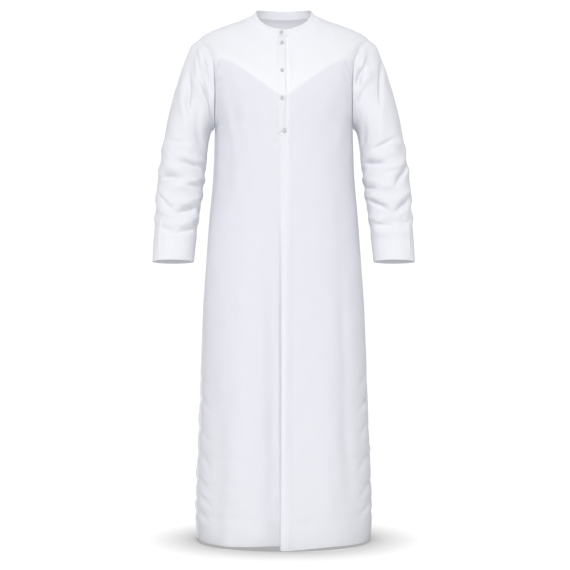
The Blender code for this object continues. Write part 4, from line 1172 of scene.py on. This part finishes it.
def make_buttons(front, collar, finish, thread):
    x, drop = np.array(PLACKET_BUTTONS).T
    v = front.row_at(np.zeros(len(x)), -drop)
    u = front.column_at(v, x)
    centres = front.face(v, u, PLACKET_FACE + SEAM_GAP + BUTTON_THICKNESS / 2)
    normals = unit(centres - front.face(v, u, 0))
    places = [collar_button_place(collar), *zip(centres, normals)]
    shape = button_mesh()
    lines = []
    for number, (centre, outward) in enumerate(places, start=1):
        button = add_object("button_%d_turned" % number, shape.copy(), finish)
        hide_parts("button_%d" % number)
        button.location = centre
        button.rotation_mode = "QUATERNION"
        button.rotation_quaternion = Vector(outward).to_track_quat("Z", "Y")
        level = unit(np.cross([0, 0, 1], outward))
        upright = np.cross(outward, level) * 0.0013
        top = centre + outward * (BUTTON_THICKNESS / 2 - 0.0005)
        for side in (-BUTTON_HOLE_PLACE, BUTTON_HOLE_PLACE):
            ends = np.stack([top + level * side - upright, top + level * side + upright])
            lines.append((ends, np.stack([outward, outward]), {"length": 0.0025, "radius": 0.0004}))
    make_sewing("button_threads", lines, thread)


# ---- Materials ----


def put(tree, node, inputs):
    """Gives inputs of a node their values or links."""
    for key, value in inputs.items():
        if isinstance(value, bpy.types.NodeSocket):
            tree.links.new(value, node.inputs[key])
        else:
            node.inputs[key].default_value = value
    return node


class Shader:
    """Builds one material's nodes."""

    def __init__(self, name):
        self.material = bpy.data.materials.new(name)
        self.material.use_nodes = True
        self.tree = self.material.node_tree
        self.surface = self.tree.nodes["Principled BSDF"]
        self.output = self.tree.nodes["Material Output"]

    def node(self, kind, inputs=(), **settings):
        made = self.tree.nodes.new(kind)
        for key, value in settings.items():
            setattr(made, key, value)
        return put(self.tree, made, dict(inputs))

    def dress(self, inputs):
        """Fills the surface's inputs and gives the material back."""
        put(self.tree, self.surface, inputs)
        return self.material

    def maths(self, operation, first, second):
        return self.node("ShaderNodeMath", {0: first, 1: second}, operation=operation).outputs[0]

    def solid(self):
        return self.node("ShaderNodeTexCoord").outputs["Object"]

    def noise(self, place, scale, detail, distortion=0):
        inputs = {"Vector": place, "Scale": scale, "Detail": detail, "Distortion": distortion}
        return self.node("ShaderNodeTexNoise", inputs).outputs["Fac"]

    def blend(self, factor, first, second):
        inputs = {"Factor": factor, 6: (*first, 1), 7: (*second, 1)}
        return self.node("ShaderNodeMix", inputs, data_type="RGBA").outputs[2]

    def bump(self, bumps):
        """A normal from several heights, each with its distance and strength."""
        after = {}
        for height, distance, strength in bumps:
            inputs = {"Height": height, "Distance": distance, "Strength": strength, **after}
            after = {"Normal": self.node("ShaderNodeBump", inputs).outputs["Normal"]}
        return after["Normal"]

    def shine(self, strength):
        """Makes the material glow and take no light."""
        glow = self.node("ShaderNodeEmission", {"Strength": strength})
        put(self.tree, self.output, {"Surface": glow.outputs[0]})
        self.tree.nodes.remove(self.surface)
        return self.material


def cloth_material():
    """A fine plain weave: threads, slubs, faint crumple, and brighter where two layers lie together. The same
    mask paints light: a highlight down the front below the placket, brighter sleeves all over, and shade that
    dims the chest facing toward the neck.
    """
    shader = Shader("white_weave")
    place = shader.node("ShaderNodeUVMap", uv_map="weave").outputs["UV"]
    solid = shader.solid()
    threads = []
    for direction in ("X", "Y"):
        inputs = {"Vector": place, "Scale": 620, "Distortion": 0.6, "Detail": 1}
        wave = shader.node("ShaderNodeTexWave", inputs, wave_type="BANDS", bands_direction=direction)
        threads.append(wave.outputs["Fac"])
    streaks = []
    for stretch in ((2600, 60, 1), (60, 2600, 1)):
        scaled = shader.node("ShaderNodeMapping", {"Vector": place, "Scale": stretch}).outputs["Vector"]
        streaks.append(shader.noise(scaled, 1, 1))
    weave = shader.maths("MAXIMUM", *threads)
    slub = shader.maths("MULTIPLY", shader.maths("ADD", *streaks), 0.5)
    crumple = shader.noise(solid, 26, 4)
    fine = shader.noise(solid, 140, 2)
    bumps = ((crumple, 0.0022, 0.30), (fine, 0.0005, 0.20), (slub, 0.0002, 0.30), (weave, 0.0001, 0.35))
    normal = shader.bump(bumps)
    # the mask of doubled cloth, which also carries painted light and painted shade
    layers_and_painted_light = shader.node("ShaderNodeAttribute", attribute_name="doubled_and_painted_light").outputs["Fac"]
    tint = shader.blend(layers_and_painted_light, CLOTH_COLOUR, DOUBLED_AND_PAINTED_LIGHT_COLOUR)
    shade = shader.maths("ADD", shader.maths("MULTIPLY", slub, 0.05), 0.975)
    colour = shader.node("ShaderNodeVectorMath", {0: tint, "Scale": shade}, operation="SCALE").outputs[0]
    shader.dress({"Base Color": colour, "Normal": normal, "Roughness": 0.82, "Specular IOR Level": 0.25})
    shader.dress({"Sheen Weight": 0.08, "Sheen Roughness": 0.4})
    through = shader.node("ShaderNodeBsdfTranslucent", {"Color": colour, "Normal": normal})
    share = shader.maths("MULTIPLY", shader.maths("SUBTRACT", 1, layers_and_painted_light), THROUGH)
    both = shader.node("ShaderNodeMixShader", {0: share, 1: shader.surface.outputs[0], 2: through.outputs[0]})
    put(shader.tree, shader.output, {"Surface": both.outputs[0]})
    return shader.material


def thread_material(name, colour):
    shader = Shader(name)
    normal = shader.bump([(shader.noise(shader.solid(), 4000, 1), 0.0001, 0.4)])
    return shader.dress({"Normal": normal, "Base Color": (*colour, 1), "Roughness": 0.6})


def button_material():
    """Pale grey moulded resin with faint cloudy veins."""
    shader = Shader("grey_button")
    veins = shader.noise(shader.solid(), 320, 3, 1.2)
    dark, light = ([share * c for c in BUTTON_COLOUR] for share in (0.88, 1.12))
    return shader.dress({"Base Color": shader.blend(veins, dark, light), "Roughness": 0.32})


# ---- Floor, light and camera ----


def add_plate(name, outline, material):
    """A flat plate of the stage."""
    mesh = new_mesh(name, outline, [range(len(outline))])
    mesh.materials.append(material)
    link_new(name, mesh)


def make_floor(front, back, lowest):
    """A pale floor just under the hem, with contact shade close to it and a dark plate inside it."""
    level = lowest - FLOOR_GAP
    pale = Shader("pale_floor")
    contact = pale.node("ShaderNodeAmbientOcclusion", {"Distance": CONTACT_REACH}, samples=24)
    shade = pale.maths("MULTIPLY", pale.maths("POWER", contact.outputs["AO"], 1.15), BACKDROP)
    half = FLOOR_SIZE / 2
    corners = ((-half, -half, level), (half, -half, level), (half, half, level), (-half, half, level))
    add_plate("floor", corners, pale.shine(shade))
    u = np.linspace(-1, 1, 120)
    foot = np.zeros(len(u))
    outline = np.concatenate([front.bare(foot, u), back.bare(foot, u)[::-1]])
    outline[:, 2] = level + 0.0002
    add_plate("hem_shade", outline, Shader("shaded_floor").shine(HEM_SHADE))


def add_lamp(name, kind, power, source, place=(0, 0, 0), **settings):
    """A lamp that shines from the side of its source."""
    light = bpy.data.lights.new(name, kind)
    light.energy = power
    for key, value in settings.items():
        setattr(light, key, value)
    lamp = link_new(name, light)
    lamp.location = place
    lamp.rotation_mode = "QUATERNION"
    lamp.rotation_quaternion = Vector(source).to_track_quat("Z", "Y")


def make_lights():
    """White all round, seen brighter than it lights, two soft suns and the glow inside the yoke."""
    world = bpy.data.worlds.new("studio")
    bpy.context.scene.world = world
    world.use_nodes = True
    tree = world.node_tree
    seen = tree.nodes.new("ShaderNodeLightPath").outputs["Is Camera Ray"]
    strength = tree.nodes.new("ShaderNodeMapRange")
    put(tree, strength, {"Value": seen, "To Min": AMBIENT, "To Max": BACKDROP})
    shown = {"Color": (1, 1, 1, 1), "Strength": strength.outputs["Result"]}
    put(tree, tree.nodes["Background"], shown)
    add_lamp("key", "SUN", KEY, (-0.12, -0.72, 0.68), angle=math.radians(14))
    add_lamp("glow", "AREA", GLOW, (0, 0, -1), place=(0, -0.01, -0.15), size=0.12)
    add_lamp("fill", "SUN", FILL, (0.13, -1, 0.10), angle=math.radians(30))


def make_camera():
    camera = bpy.data.cameras.new("camera")
    camera.lens = LENS
    camera.sensor_width = SENSOR
    camera.clip_end = 100
    holder = link_new("camera", camera)
    holder.location = CAMERA_PLACE
    holder.rotation_euler = (math.radians(90), 0, 0)
    bpy.context.scene.camera = holder
    bpy.context.scene.view_settings.view_transform = "Standard"


# ---- The whole ----


def main():
    for old in list(bpy.data.objects):
        bpy.data.objects.remove(old)
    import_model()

    weave = cloth_material()
    thread = thread_material("white_thread", THREAD_COLOUR)
    shank = thread_material("button_thread", BUTTON_COLOUR)
    front = Panel(-1, 2, FRONT_YOKE_ROWS, 0, FRONT_FOLDS, FRONT_CREASES, FRONT_HEM_LIFTS)
    back = Panel(1, 3, BACK_YOKE_ROWS, BACK_ARMHOLE_EASE, BACK_FOLDS, BACK_CREASES, BACK_HEM_LIFTS)
    left = Sleeve(1, front, back, SLEEVE_LEFT_CREASES)
    right = Sleeve(-1, front, back, SLEEVE_RIGHT_CREASES)
    collar = Collar(front, back)
    make_panel("front", front, FRONT_ROWS, FRONT_COLUMNS, weave)
    make_panel("back", back, BACK_ROWS, BACK_COLUMNS, weave)
    make_sleeve("sleeve_left", left, weave)
    make_sleeve("sleeve_right", right, weave)
    make_collar(collar, weave)
    make_placket(front, weave)
    make_facing("facing_left", front, 1, weave)
    make_facing("facing_right", front, -1, weave)
    make_all_sewing(front, back, left, right, collar, thread)
    make_buttons(front, collar, button_material(), shank)

    low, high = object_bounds()

    make_floor(front, back, low.z)
    make_lights()
    make_camera()


main()
